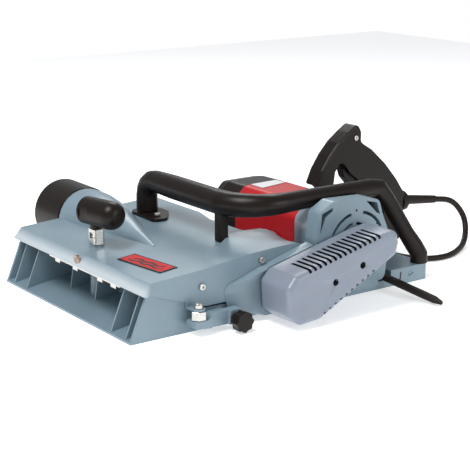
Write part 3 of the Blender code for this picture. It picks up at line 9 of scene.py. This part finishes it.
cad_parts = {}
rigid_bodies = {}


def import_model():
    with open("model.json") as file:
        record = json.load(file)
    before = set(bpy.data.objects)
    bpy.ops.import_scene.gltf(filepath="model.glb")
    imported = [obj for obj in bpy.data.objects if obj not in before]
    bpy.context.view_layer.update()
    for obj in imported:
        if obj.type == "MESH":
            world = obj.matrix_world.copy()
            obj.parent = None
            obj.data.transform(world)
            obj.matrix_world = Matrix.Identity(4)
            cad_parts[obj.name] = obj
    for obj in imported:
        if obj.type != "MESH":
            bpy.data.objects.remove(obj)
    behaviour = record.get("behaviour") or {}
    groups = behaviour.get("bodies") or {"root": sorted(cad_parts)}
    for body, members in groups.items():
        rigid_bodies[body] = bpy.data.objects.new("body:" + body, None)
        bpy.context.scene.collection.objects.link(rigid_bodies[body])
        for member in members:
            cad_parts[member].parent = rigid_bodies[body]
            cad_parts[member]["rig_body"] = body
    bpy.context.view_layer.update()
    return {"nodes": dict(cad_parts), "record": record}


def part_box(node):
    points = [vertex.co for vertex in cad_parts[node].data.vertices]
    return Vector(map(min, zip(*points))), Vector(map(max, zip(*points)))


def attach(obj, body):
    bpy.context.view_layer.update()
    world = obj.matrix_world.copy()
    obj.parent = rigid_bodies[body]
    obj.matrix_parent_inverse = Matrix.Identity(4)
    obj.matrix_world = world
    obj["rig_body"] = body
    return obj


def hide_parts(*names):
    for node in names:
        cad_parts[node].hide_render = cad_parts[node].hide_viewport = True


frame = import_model()

# Mains lead, in metres, as the frame has it
CABLE_DIAMETER = 0.009
COIL_CENTRE = Vector((-0.100, 0.270, 0.0048))
TUBE_INSET = 0.00002  # taken off the tube's radius
ROUTE_END_RADIUS = 0.0690  # where the ground stretch meets the coil
TURN_RADII = (0.0595, 0.0503, 0.0411)
POINTS_PER_TURN = 24
LAYER_STEP = 0.0091
LAYERS = 4
LAST_TURN_SHARE = 0.875  # the top layer's last turn stops here, and the lead leaves for the plug
ROUTE = (
    (0.0450, 0.3240, 0.0737), (0.0455, 0.3490, 0.0695), (0.0485, 0.3620, 0.0630),
    (0.0530, 0.3710, 0.0520), (0.0590, 0.3750, 0.0390), (0.0660, 0.3720, 0.0260),
    (0.0755, 0.3620, 0.0145), (0.0880, 0.3440, 0.0070), (0.1010, 0.3210, 0.0050),
    (0.1110, 0.2980, 0.0048), (0.1140, 0.2760, 0.0048), (0.1090, 0.2560, 0.0048),
    (0.0965, 0.2400, 0.0048), (0.0785, 0.2300, 0.0048), (0.0550, 0.2245, 0.0048),
    (0.0200, 0.2190, 0.0048), (-0.0200, 0.2100, 0.0048), (-0.0580, 0.2035, 0.0048),
    (-0.0900, 0.2011, 0.0048), (-0.1010, 0.2010, 0.0048),
)
TO_PLUG = (
    (-0.1450, 0.2175, 0.0318), (-0.1665, 0.2300, 0.0262), (-0.1795, 0.2460, 0.0212),
    (-0.1852, 0.2600, 0.0192), (-0.1860, 0.2715, 0.0190),
)


# ---------------------------------------------------------------- camera and light

CAMERA_AZIMUTH_DEG, CAMERA_ELEVATION_DEG = 54.148, 14.862
CAMERA_PLACE = (1.4862, -1.0964, 0.5471)
LENS_MM = 102.3
ROOM_COLOUR, ROOM_STRENGTH = (0.95, 0.97, 1.0, 1), 0.42
WHITE = (1, 1, 1, 1)
LIT_PLACE = (0.0, -0.03, 0.08)  # where every lamp points
LIGHTS = (  # name, place, disc's width in metres, watts
    ("key_light", (0.2, -1.0, 1.7), 0.9, 26),
    ("side_light", (1.9, 0.6, 0.7), 1.0, 9),
    ("rim_light", (-1.3, 0.9, 1.5), 1.0, 11),
)
FLOOR_SIZE = 4.6
PAPER_GLOW = 0.48


def camera():
    azimuth, elevation = math.radians(CAMERA_AZIMUTH_DEG), math.radians(CAMERA_ELEVATION_DEG)
    back = Vector((math.sin(azimuth) * math.cos(elevation), -math.cos(azimuth) * math.cos(elevation),
                   math.sin(elevation)))
    data = bpy.data.cameras.new("camera")
    data.lens = LENS_MM
    item = bpy.data.objects.new("camera", data)
    item.location = CAMERA_PLACE
    item.rotation_euler = back.to_track_quat("Z", "Y").to_euler()
    bpy.context.scene.collection.objects.link(item)
    bpy.context.scene.camera = item


def area_light(name, place, target, size, power):
    data = bpy.data.lights.new(name, "AREA")
    data.shape = "DISK"
    data.size = size
    data.energy = power
    item = bpy.data.objects.new(name, data)
    item.location = place
    item.rotation_euler = (Vector(place) - Vector(target)).to_track_quat("Z", "Y").to_euler()
    bpy.context.scene.collection.objects.link(item)


def studio():
    """A white room for the camera, and a dimmer one for the light that reaches the object."""
    world = bpy.data.worlds.new("studio")
    world.use_nodes = True
    nodes, links = world.node_tree.nodes, world.node_tree.links
    room = nodes["Background"]
    room.inputs["Color"].default_value = ROOM_COLOUR
    room.inputs["Strength"].default_value = ROOM_STRENGTH
    white = nodes.new("ShaderNodeBackground")
    white.inputs["Color"].default_value = WHITE
    choice = nodes.new("ShaderNodeMixShader")
    links.new(nodes.new("ShaderNodeLightPath").outputs["Is Camera Ray"], choice.inputs["Fac"])
    links.new(room.outputs["Background"], choice.inputs[1])
    links.new(white.outputs["Background"], choice.inputs[2])
    links.new(choice.outputs["Shader"], nodes["World Output"].inputs["Surface"])
    bpy.context.scene.world = world
    for name, place, size, power in LIGHTS:
        area_light(name, place, LIT_PLACE, size, power)
    bpy.ops.mesh.primitive_plane_add(size=FLOOR_SIZE, location=(0, 0, 0))
    floor = bpy.context.object
    floor.name = "floor"
    paper = finish("floor_paper", (0.90, 0.90, 0.90), 0.9, mottle=0.005)
    shader = paper.node_tree.nodes["Principled BSDF"]
    shader.inputs["Emission Color"].default_value = WHITE
    shader.inputs["Emission Strength"].default_value = PAPER_GLOW
    floor.data.materials.append(paper)
    bpy.context.scene.view_settings.view_transform = "Standard"


# ---------------------------------------------------------------- finishes

COAT_ROUGHNESS = 0.25
ROUGHNESS_DRIFT = (0.82, 1.2)
GRAIN_DEPTH = 0.0003
CHIP_SCALE, CHIP_DETAIL, CHIP_LIMITS = 190, 9, (0.735, 0.76)
PAINT_COLOUR, PAINT_CHIPS = (0.200, 0.282, 0.335), (0.42, 0.48, 0.52)
HOOD_FRONT_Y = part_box("main_housing")[0].y
# The hood's front lip is painted pale along its edge: a painted highlight, partly rubbed wear.
LIP_HIGHLIGHT_AND_WEAR_COLOUR = (0.62, 0.67, 0.70, 1)
LIP_START_Y, LIP_END_Y = HOOD_FRONT_Y + 0.0060, HOOD_FRONT_Y + 0.0150
LIP_STRENGTH, LIP_UNEVENNESS = 0.75, 0.004


def finish(name, colour, roughness, metallic=0.0, mottle=0.06, mottle_scale=18, grain=0.0,
           grain_scale=900, streak=None, coat=0.0, wear=None, specular=0.5, lip=False):
    """A Principled finish. Colour and roughness drift slowly, and the grain is a fine bump."""
    look = bpy.data.materials.new(name)
    look.use_nodes = True
    nodes, links = look.node_tree.nodes, look.node_tree.links
    shader = nodes["Principled BSDF"]
    shader.inputs["Metallic"].default_value = metallic
    shader.inputs["Coat Weight"].default_value = coat
    shader.inputs["Coat Roughness"].default_value = COAT_ROUGHNESS
    shader.inputs["Specular IOR Level"].default_value = specular
    place = nodes.new("ShaderNodeTexCoord").outputs["Object"]
    if streak:
        mapping = nodes.new("ShaderNodeMapping")
        mapping.inputs["Scale"].default_value = streak
        links.new(place, mapping.inputs["Vector"])
        place_fine = mapping.outputs["Vector"]
    else:
        place_fine = place

    cloud = nodes.new("ShaderNodeTexNoise")
    cloud.inputs["Scale"].default_value = mottle_scale
    cloud.inputs["Detail"].default_value = 6
    links.new(place, cloud.inputs["Vector"])
    ramp = nodes.new("ShaderNodeValToRGB")
    ramp.color_ramp.elements[0].position = 0.3
    ramp.color_ramp.elements[1].position = 0.7
    ramp.color_ramp.elements[0].color = [c * (1 - mottle) for c in colour] + [1]
    ramp.color_ramp.elements[1].color = [min(1, c * (1 + mottle)) for c in colour] + [1]
    links.new(cloud.outputs["Fac"], ramp.inputs["Fac"])
    tint = ramp.outputs["Color"]
    if wear:
        tint = worn(nodes, links, place, tint, wear)
    # painted highlight, partly rubbed wear, along the hood's front lip
    if lip:
        tint = lip_highlight_and_wear(nodes, links, place, cloud, tint)
    links.new(tint, shader.inputs["Base Color"])

    spread = nodes.new("ShaderNodeMapRange")
    spread.inputs["To Min"].default_value = roughness * ROUGHNESS_DRIFT[0]
    spread.inputs["To Max"].default_value = min(1, roughness * ROUGHNESS_DRIFT[1])
    links.new(cloud.outputs["Fac"], spread.inputs["Value"])
    links.new(spread.outputs["Result"], shader.inputs["Roughness"])

    if grain:
        fine = nodes.new("ShaderNodeTexNoise")
        fine.inputs["Scale"].default_value = grain_scale
        fine.inputs["Detail"].default_value = 3
        links.new(place_fine, fine.inputs["Vector"])
        bump = nodes.new("ShaderNodeBump")
        bump.inputs["Strength"].default_value = grain
        bump.inputs["Distance"].default_value = GRAIN_DEPTH
        links.new(fine.outputs["Fac"], bump.inputs["Height"])
        links.new(bump.outputs["Normal"], shader.inputs["Normal"])
    return look


def worn(nodes, links, place, tint, wear):
    """Small bright chips where a fine noise passes a high limit."""
    chips = nodes.new("ShaderNodeTexNoise")
    chips.inputs["Scale"].default_value = CHIP_SCALE
    chips.inputs["Detail"].default_value = CHIP_DETAIL
    links.new(place, chips.inputs["Vector"])
    limit = nodes.new("ShaderNodeMapRange")
    limit.inputs["From Min"].default_value = CHIP_LIMITS[0]
    limit.inputs["From Max"].default_value = CHIP_LIMITS[1]
    links.new(chips.outputs["Fac"], limit.inputs["Value"])
    mix = nodes.new("ShaderNodeMix")
    mix.data_type = "RGBA"
    mix.inputs["B"].default_value = (*wear, 1)
    links.new(limit.outputs["Result"], mix.inputs["Factor"])
    links.new(tint, mix.inputs["A"])
    return mix.outputs["Result"]


def lip_highlight_and_wear(nodes, links, place, cloud, tint):
    """The hood's front lip, pale along its edge: a painted highlight, partly rubbed wear."""
    axes = nodes.new("ShaderNodeSeparateXYZ")
    links.new(place, axes.inputs["Vector"])
    uneven = nodes.new("ShaderNodeMath")
    uneven.operation = "MULTIPLY_ADD"
    uneven.inputs[1].default_value = LIP_UNEVENNESS
    links.new(cloud.outputs["Fac"], uneven.inputs[0])
    links.new(axes.outputs["Y"], uneven.inputs[2])
    edge = nodes.new("ShaderNodeMapRange")
    edge.inputs["From Min"].default_value = LIP_START_Y
    edge.inputs["From Max"].default_value = LIP_END_Y
    edge.inputs["To Min"].default_value = LIP_STRENGTH
    edge.inputs["To Max"].default_value = 0.0
    links.new(uneven.outputs["Value"], edge.inputs["Value"])
    mix = nodes.new("ShaderNodeMix")
    mix.data_type = "RGBA"
    mix.inputs["B"].default_value = LIP_HIGHLIGHT_AND_WEAR_COLOUR
    links.new(edge.outputs["Result"], mix.inputs["Factor"])
    links.new(tint, mix.inputs["A"])
    return mix.outputs["Result"]


def finishes():
    paint = {"grain": 0.16, "grain_scale": 700, "coat": 0.25, "wear": PAINT_CHIPS}
    return {
        "paint": finish("blue_grey_paint", PAINT_COLOUR, 0.33, **paint),
        # the hood's paint carries the painted highlight along its front lip
        "hood_paint": finish("hood_paint", PAINT_COLOUR, 0.33, lip=True, **paint),
        "cover_paint": finish("lilac_grey_paint", (0.228, 0.262, 0.325), 0.34, grain=0.12,
                              grain_scale=700, coat=0.25),
        # blackened steel is also the painted shade of the rear block's slots
        "dark_steel": finish("blackened_steel", (0.05, 0.05, 0.05), 0.35, 0.9, grain=0.1,
                             grain_scale=500),
        # gloss_black is the label's black, and painted shade in the cover, the fan's vents and its screw
        # holes
        "gloss_black": finish("gloss_black", (0.006, 0.006, 0.006), 0.4, mottle=0.03, specular=0.2),
        "machined_aluminium": finish("machined_aluminium", (0.66, 0.67, 0.68), 0.34, 1.0, grain=0.25,
                                     grain_scale=300, streak=(0.05, 4, 4)),
        "black_plastic": finish("black_plastic", (0.010, 0.0062, 0.0046), 0.34, grain=0.25,
                                grain_scale=1500, specular=0.24),
        "red_plastic": finish("red_plastic", (0.50, 0.005, 0.009), 0.36, mottle=0.04, grain=0.12,
                              grain_scale=1200, coat=0.1, specular=0.35),
        "rubber": finish("black_rubber", (0.012, 0.0072, 0.0050), 0.5, grain=0.2, grain_scale=1800,
                         specular=0.24),
        "abrasive": finish("abrasive_cloth", (0.17, 0.07, 0.04), 0.9, mottle=0.25, mottle_scale=900,
                           grain=1.0, grain_scale=2400),
        "steel": finish("zinc_steel", (0.62, 0.61, 0.58), 0.28, 1.0, mottle=0.08, mottle_scale=60,
                        grain=0.1, grain_scale=500),
        "laminations": finish("laminated_steel", (0.20, 0.19, 0.18), 0.5, 0.9, grain=0.5,
                              grain_scale=120, streak=(18, 0.2, 0.2)),
        "bronze": finish("bronze_nut", (0.40, 0.31, 0.26), 0.32, 0.95, mottle=0.15, mottle_scale=200,
                         grain=0.2, grain_scale=600),
        "copper_steel": finish("copper_winding", (0.50, 0.20, 0.09), 0.35, 0.9, grain=0.4,
                               grain_scale=400),
        "label_red": finish("label_red", (0.52, 0.006, 0.010), 0.5, mottle=0.03, specular=0.2),
        "label_white": finish("label_white", (0.78, 0.79, 0.80), 0.35, mottle=0.02, coat=0.4),
    }


# ---------------------------------------------------------------- surfaces over the CAD nodes

SHARP = math.radians(33)
VENTED_SHARP = math.radians(20)
NEARLY_FLAT = math.radians(0.8)
WELD = 2e-6
FLAT_FACE_WEIGHT = 60
PLAIN = ("mains_cable", "cable_coil")  # mains_lead stands for them
VENTED = ("belt_cover", "motor_end_cap")  # their many thin webs keep the CAD's own rounded edges
SMALL_EDGE = 0.0003
BEVELS = {  # edge widths, in metres; the other nodes that are bevelled get SMALL_EDGE
    "main_housing": 0.0012, "front_shoe": 0.0006, "rear_sole": 0.0008, "belt_housing": 0.0009,
    "fan_housing": 0.0020, "motor_housing": 0.0014, "motor_saddle": 0.0012,
    "rear_handle_left": 0.0009, "rear_handle_right": 0.0009, "bow_handle": 0.0007,
    "bow_handle_foot": 0.0010, "depth_knob": 0.0011, "guide_arm": 0.0012, "parking_lever": 0.0008,
    "dust_port_sleeve": 0.0009, "rear_end_strip": 0.0008, "label_plate": 0.0003,
    "motor_label": 0.0001, "depth_strip": 0.0002,
}


def refined(name, look):
    """A copy of the node's surface, smooth and with softened edges, which stands for the node."""
    source = frame["nodes"][name]
    vented = name in VENTED
    mesh = source.data.copy()
    mesh.name = name + "_surface"
    shape = bmesh.new()
    shape.from_mesh(mesh)
    bmesh.ops.remove_doubles(shape, verts=shape.verts, dist=WELD)
    if not vented:
        bmesh.ops.dissolve_limit(shape, angle_limit=NEARLY_FLAT, verts=shape.verts,
                                 edges=shape.edges)
    shape.to_mesh(mesh)
    shape.free()
    mesh.shade_smooth()
    mesh.set_sharp_from_angle(angle=VENTED_SHARP if vented else SHARP)
    mesh.materials.clear()
    mesh.materials.append(look)
    piece = bpy.data.objects.new(name + "_surface", mesh)
    bpy.context.scene.collection.objects.link(piece)
    if not vented:
        round_edges(piece, BEVELS.get(name, SMALL_EDGE))
    weigh_normals(piece)
    return placed_surface(piece, source, name)


def round_edges(piece, width):
    edge = piece.modifiers.new("edge", "BEVEL")
    edge.width = width
    edge.segments = 2
    edge.limit_method = "ANGLE"
    edge.angle_limit = SHARP
    edge.miter_outer = "MITER_ARC"
    edge.use_clamp_overlap = True
    edge.harden_normals = True


def weigh_normals(piece):
    """Large faces stay flat, and only the narrow ones between them shade round."""
    flat = piece.modifiers.new("flat_faces", "WEIGHTED_NORMAL")
    flat.keep_sharp = True
    flat.weight = FLAT_FACE_WEIGHT


def placed_surface(piece, source, name):
    """Puts a piece on its node's body, in its place."""
    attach(piece, source["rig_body"])
    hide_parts(name)
    return piece


def surfaces(looks):
    """One refined surface for each CAD node but the lead's two."""
    slots = {item["node"]: item["material_slot"] for item in frame["record"]["subparts"]}
    made = {}
    for name in sorted(frame["nodes"]):
        slot = slots[name]
        frame["nodes"][name].data.materials.clear()
        frame["nodes"][name].data.materials.append(looks[slot])
        if name not in PLAIN:
            made[name] = refined(name, looks["hood_paint" if name == "main_housing" else slot])
    bright_pins(made["mains_plug"], looks["steel"])
    # the cover's inner faces take black as painted shade
    paint_shade_inside(made["belt_cover"], looks["gloss_black"])
    # the vent floors in the fan housing's face take black as painted shade
    paint_vent_shade(made["fan_housing"], looks["gloss_black"])
    return made


def paint_shade_inside(cover, look):
    """The cover's inner faces, which the slots show, are given the black finish as painted shade: walls,
    end and the slots' sides.
    """
    cover.data.materials.append(look)
    low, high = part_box("belt_cover")
    front, rear = Vector((low.y + 0.030, 0.040)), Vector((high.y - 0.025, 0.085))  # its middle line
    line = rear - front
    skin, rim = 0.0022, 0.004  # depths: behind the outer face, and in from the side on the case
    slots_low_z, slots_low_y, slots_high_y = 0.060, -0.095, 0.045
    for face in cover.data.polygons:
        place = Vector((face.center.y, face.center.z))
        along = min(1, max(0, (place - front).dot(line) / line.length_squared))
        inward = (front + line * along - place).normalized()
        faces_in = Vector((face.normal.y, face.normal.z)).dot(inward) > 0.35
        deep = face.center.x < high.x - skin
        end_wall = face.normal.x < -0.9 and face.center.x > low.x + rim
        slot_wall = (abs(face.normal.y) > 0.8 and face.center.z > slots_low_z
                     and slots_low_y < face.center.y < slots_high_y)
        if deep and (faces_in or end_wall or slot_wall):
            face.material_index = 1


def paint_vent_shade(housing, look):
    """The floors of the corner vents in the fan housing's face, given the black finish as painted shade.
    """
    housing.data.materials.append(look)
    face_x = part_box("fan_housing")[1].x
    deepest, shallowest = 0.0150, 0.0110
    for face in housing.data.polygons:
        if face.normal.x > 0.9 and face_x - deepest < face.center.x < face_x - shallowest:
            face.material_index = 1


def bright_pins(plug, look):
    """The plug's two contact pins are metal, from the plug's end face on."""
    plug.data.materials.append(look)
    pin_length = 0.0185
    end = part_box("mains_plug")[1].y - pin_length
    for face in plug.data.polygons:
        if face.center.y > end:
            face.material_index = 1


# ---------------------------------------------------------------- small added pieces

def added(name, mesh, look):
    """A piece that no CAD node holds, on the base."""
    mesh.materials.append(look)
    piece = bpy.data.objects.new(name, mesh)
    bpy.context.scene.collection.objects.link(piece)
    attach(piece, "base")
    return piece


PLATE_CENTRE, PLATE_TILT, PLATE_RISE = Vector((0.0998, -0.2325)), math.radians(6), 0.063
PLATE_HALF_LENGTH, PLATE_HALF_WIDTH = 0.0440, 0.0145
RIM_WIDTH = 0.0028
FIELD_LIFT, FIELD_DEPTH, STROKE_LIFT = 0.00006, 0.0004, 0.00012
STROKE_STEPS = 40
STROKES = ((0.10, 0.93, 0.30), (0.16, 0.88, 0.60))  # start, end and height, as shares of the field
NUT_SIDES = 48
BAR_THICKNESS, BAR_WIDTH = 0.0006, 0.0012


def plate_corners(margin):
    """The label plate's corners on the sloping hood, moved inwards by a margin, just above its top."""
    centre, tilt, rise = PLATE_CENTRE, PLATE_TILT, PLATE_RISE
    corners = []
    for a, b in ((-1, -1), (1, -1), (1, 1), (-1, 1)):
        u, v = a * (PLATE_HALF_LENGTH - margin), b * (PLATE_HALF_WIDTH - margin)
        corners.append(centre + Vector((u * math.cos(tilt) - v * math.sin(tilt),
                                        u * math.sin(tilt) + v * math.cos(tilt))))
    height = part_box("label_plate")[1].z
    back = max(corner.y for corner in corners)
    return [Vector((c.x, c.y, height - rise * (back + margin - c.y) + FIELD_LIFT)) for c in corners]


def label_face(looks):
    """The red field inside the plate's black rim, with plain wavy strokes in place of lettering."""
    corners = plate_corners(RIM_WIDTH)
    mesh = bpy.data.meshes.new("label_field")
    low = [c - Vector((0, 0, FIELD_DEPTH)) for c in corners]
    mesh.from_pydata([tuple(c) for c in low + corners], [],
                     [(3, 2, 1, 0), (4, 5, 6, 7), (0, 1, 5, 4), (1, 2, 6, 5), (2, 3, 7, 6), (3, 0, 4, 7)])
    added("label_field", mesh, looks["label_red"])
    along, up = corners[1] - corners[0], corners[3] - corners[0]
    for row, (first, last, height) in enumerate(STROKES):
        shape = bmesh.new()
        rails = []
        for side in (-1, 1):
            rail = []
            for k in range(STROKE_STEPS + 1):
                t = first + (last - first) * k / STROKE_STEPS
                wave = 0.07 * math.sin(22 * t + 1.3 * row)
                width = side * (0.050 + 0.045 * math.sin(math.pi * k / STROKE_STEPS))
                rail.append(shape.verts.new(corners[0] + along * t + up * (height + wave + width)
                                            + Vector((0, 0, STROKE_LIFT))))
            rails.append(rail)
        for k in range(STROKE_STEPS):
            shape.faces.new((rails[0][k], rails[0][k + 1], rails[1][k + 1], rails[1][k]))
        stroke = bpy.data.meshes.new(f"label_stroke_{row}")
        shape.to_mesh(stroke)
        shape.free()
        piece = added(f"label_stroke_{row}", stroke, looks["gloss_black"])
        body = piece.modifiers.new("thickness", "SOLIDIFY")
        body.thickness = 0.0002
        body.offset = -1


def disc(name, centre, radius, height, look):
    """A low round disc that faces +X, a little narrower on its outer side."""
    shape = bmesh.new()
    bmesh.ops.create_cone(shape, cap_ends=True, segments=32, radius1=radius, radius2=radius * 0.9,
                          depth=height)
    mesh = bpy.data.meshes.new(name)
    shape.to_mesh(mesh)
    shape.free()
    mesh.transform(Matrix.Translation(centre) @ Matrix.Rotation(math.pi / 2, 4, "Y"))
    mesh.shade_smooth()
    mesh.set_sharp_from_angle(angle=SHARP)
    return added(name, mesh, look)


def painted_fan_hole_shades(looks):
    """The small screw holes in the fan housing's face, near its rim: black discs on the face, painted
    shade in place of the holes.
    """
    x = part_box("fan_housing")[1].x
    radius, height = 0.0017, 0.0003
    for k, (y, z) in enumerate(((0.0430, 0.1240), (0.0030, 0.0940), (0.0800, 0.1010))):
        disc(f"painted_fan_hole_shade_{k}", Vector((x, y, z)), radius, height, looks["gloss_black"])


def lip_nut(looks):
    """The knurled nut round the lip screw's head."""
    low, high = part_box("lip_screw")
    centre = (low + high) / 2
    front, depth = low.y, 0.0036
    bore, face, outside, chamfer, knurl = 0.0036, 0.0058, 0.0064, 0.0006, 0.0003
    shape = bmesh.new()
    rings = []
    for y, outer in ((front + depth, outside), (front + chamfer, outside), (front, face), (front, bore),
                     (front + depth, bore)):
        ring = []
        for k in range(NUT_SIDES):
            angle = 2 * math.pi * k / NUT_SIDES
            r = outer + (knurl if k % 2 and outer == outside else 0)
            ring.append(shape.verts.new((centre.x + r * math.cos(angle), y,
                                         centre.z + r * math.sin(angle))))
        rings.append(ring)
    for a, b in zip(rings, rings[1:] + rings[:1]):
        for k in range(NUT_SIDES):
            shape.faces.new((a[k], a[(k + 1) % NUT_SIDES], b[(k + 1) % NUT_SIDES], b[k]))
    bmesh.ops.recalc_face_normals(shape, faces=shape.faces)
    mesh = bpy.data.meshes.new("lip_nut")
    shape.to_mesh(mesh)
    shape.free()
    added("lip_nut", mesh, looks["bronze"])


def rear_block_marks(looks):
    """A set screw and a short slot in the side of the sole's raised rear block; both slots are thin dark
    bars laid on the face, painted shade.
    """
    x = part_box("rear_sole")[1].x
    disc("block_screw", Vector((x + 0.0002, 0.1600, 0.0125)), 0.0048, 0.0008, looks["paint"])
    # thin dark bars on the face stand for the slots: painted shade
    for name, y, z, length, tilt in (("block_screw_slot_shade", 0.1600, 0.0125, 0.0084, 0.35),
                                     ("block_slot_shade", 0.1400, 0.0125, 0.0110, 1.45)):
        bar = bmesh.new()
        bmesh.ops.create_cube(bar, size=1)
        mesh = bpy.data.meshes.new(name)
        bar.to_mesh(mesh)
        bar.free()
        mesh.transform(Matrix.Translation((x + 0.0005, y, z)) @ Matrix.Rotation(tilt, 4, "X")
                       @ Matrix.Diagonal((BAR_THICKNESS, length, BAR_WIDTH, 1)))
        added(name, mesh, looks["dark_steel"])


# ---------------------------------------------------------------- mains lead

def coil_point(angle, radius, height):
    """A point on the coil, from its axis and its lowest layer."""
    return COIL_CENTRE + Vector((radius * math.cos(angle), radius * math.sin(angle), height))


def eased(t):
    """0 to 1 with a level start and end."""
    return t * t * (3 - 2 * t)


def coil_points():
    """Clockwise turns. They step sideways just before the climbing stretch, so no turn cuts another."""
    start = math.radians(-150)
    points = []
    for k in range(1, 5):
        radius = ROUTE_END_RADIUS + (TURN_RADII[0] - ROUTE_END_RADIUS) * eased(k / 4)
        points.append(coil_point(math.radians(-90 - 15 * k), radius, 0))
    for layer in range(LAYERS):
        radii = TURN_RADII if layer % 2 == 0 else TURN_RADII[::-1]
        for turn, radius in enumerate(radii):
            last = turn == len(radii) - 1
            for k in range(1, POINTS_PER_TURN + 1):
                part = k / POINTS_PER_TURN
                if layer == LAYERS - 1 and last and part > LAST_TURN_SHARE:
                    break
                aside = eased(min(1, max(0, (part - 2 / 3) * 6)))
                up = eased(min(1, max(0, (part - 5 / 6) * 6)))
                r = radius if last else radius + (radii[turn + 1] - radius) * aside
                z = LAYER_STEP * (layer + (up if last and layer < LAYERS - 1 else 0))
                points.append(coil_point(start - 2 * math.pi * part, r, z))
    return points


def smooth_line(points, spacing=0.003):
    """Points on a Catmull-Rom curve through the given ones."""
    ends = [points[0] * 2 - points[1]] + points + [points[-1] * 2 - points[-2]]
    line = [points[0]]
    for a, b, c, d in zip(ends, ends[1:], ends[2:], ends[3:]):
        steps = max(1, round((c - b).length / spacing))
        for k in range(1, steps + 1):
            t = k / steps
            line.append(0.5 * (2 * b + (c - a) * t + (2 * a - 5 * b + 4 * c - d) * t ** 2
                               + (3 * b - a - 3 * c + d) * t ** 3))
    return line


def mains_lead(look):
    """The whole lead as one tube: the free stretch, the coil and the end that runs to the plug."""
    line = smooth_line([Vector(p) for p in ROUTE] + coil_points() + [Vector(p) for p in TO_PLUG])
    data = bpy.data.curves.new("mains_lead", "CURVE")
    data.dimensions = "3D"
    data.bevel_depth = CABLE_DIAMETER / 2 - TUBE_INSET
    data.bevel_resolution = 4
    data.use_fill_caps = True
    spline = data.splines.new("POLY")
    spline.points.add(len(line) - 1)
    for point, place in zip(spline.points, line):
        point.co = (*place, 1)
    spline.use_smooth = True
    data.materials.append(look)
    lead = bpy.data.objects.new("mains_lead", data)
    bpy.context.scene.collection.objects.link(lead)
    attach(lead, "base")
    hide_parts("mains_cable", "cable_coil")


# ---------------------------------------------------------------- assembly

camera()
LOOKS = finishes()
studio()
SURFACES = surfaces(LOOKS)
SURFACES["label_plate"].data.materials[0] = LOOKS["gloss_black"]
label_face(LOOKS)
rear_block_marks(LOOKS)
lip_nut(LOOKS)
# black discs painted as the shade of the fan face's screw holes
painted_fan_hole_shades(LOOKS)
SURFACES["lip_screw"].data.materials[0] = LOOKS["bronze"]
mains_lead(LOOKS["rubber"])
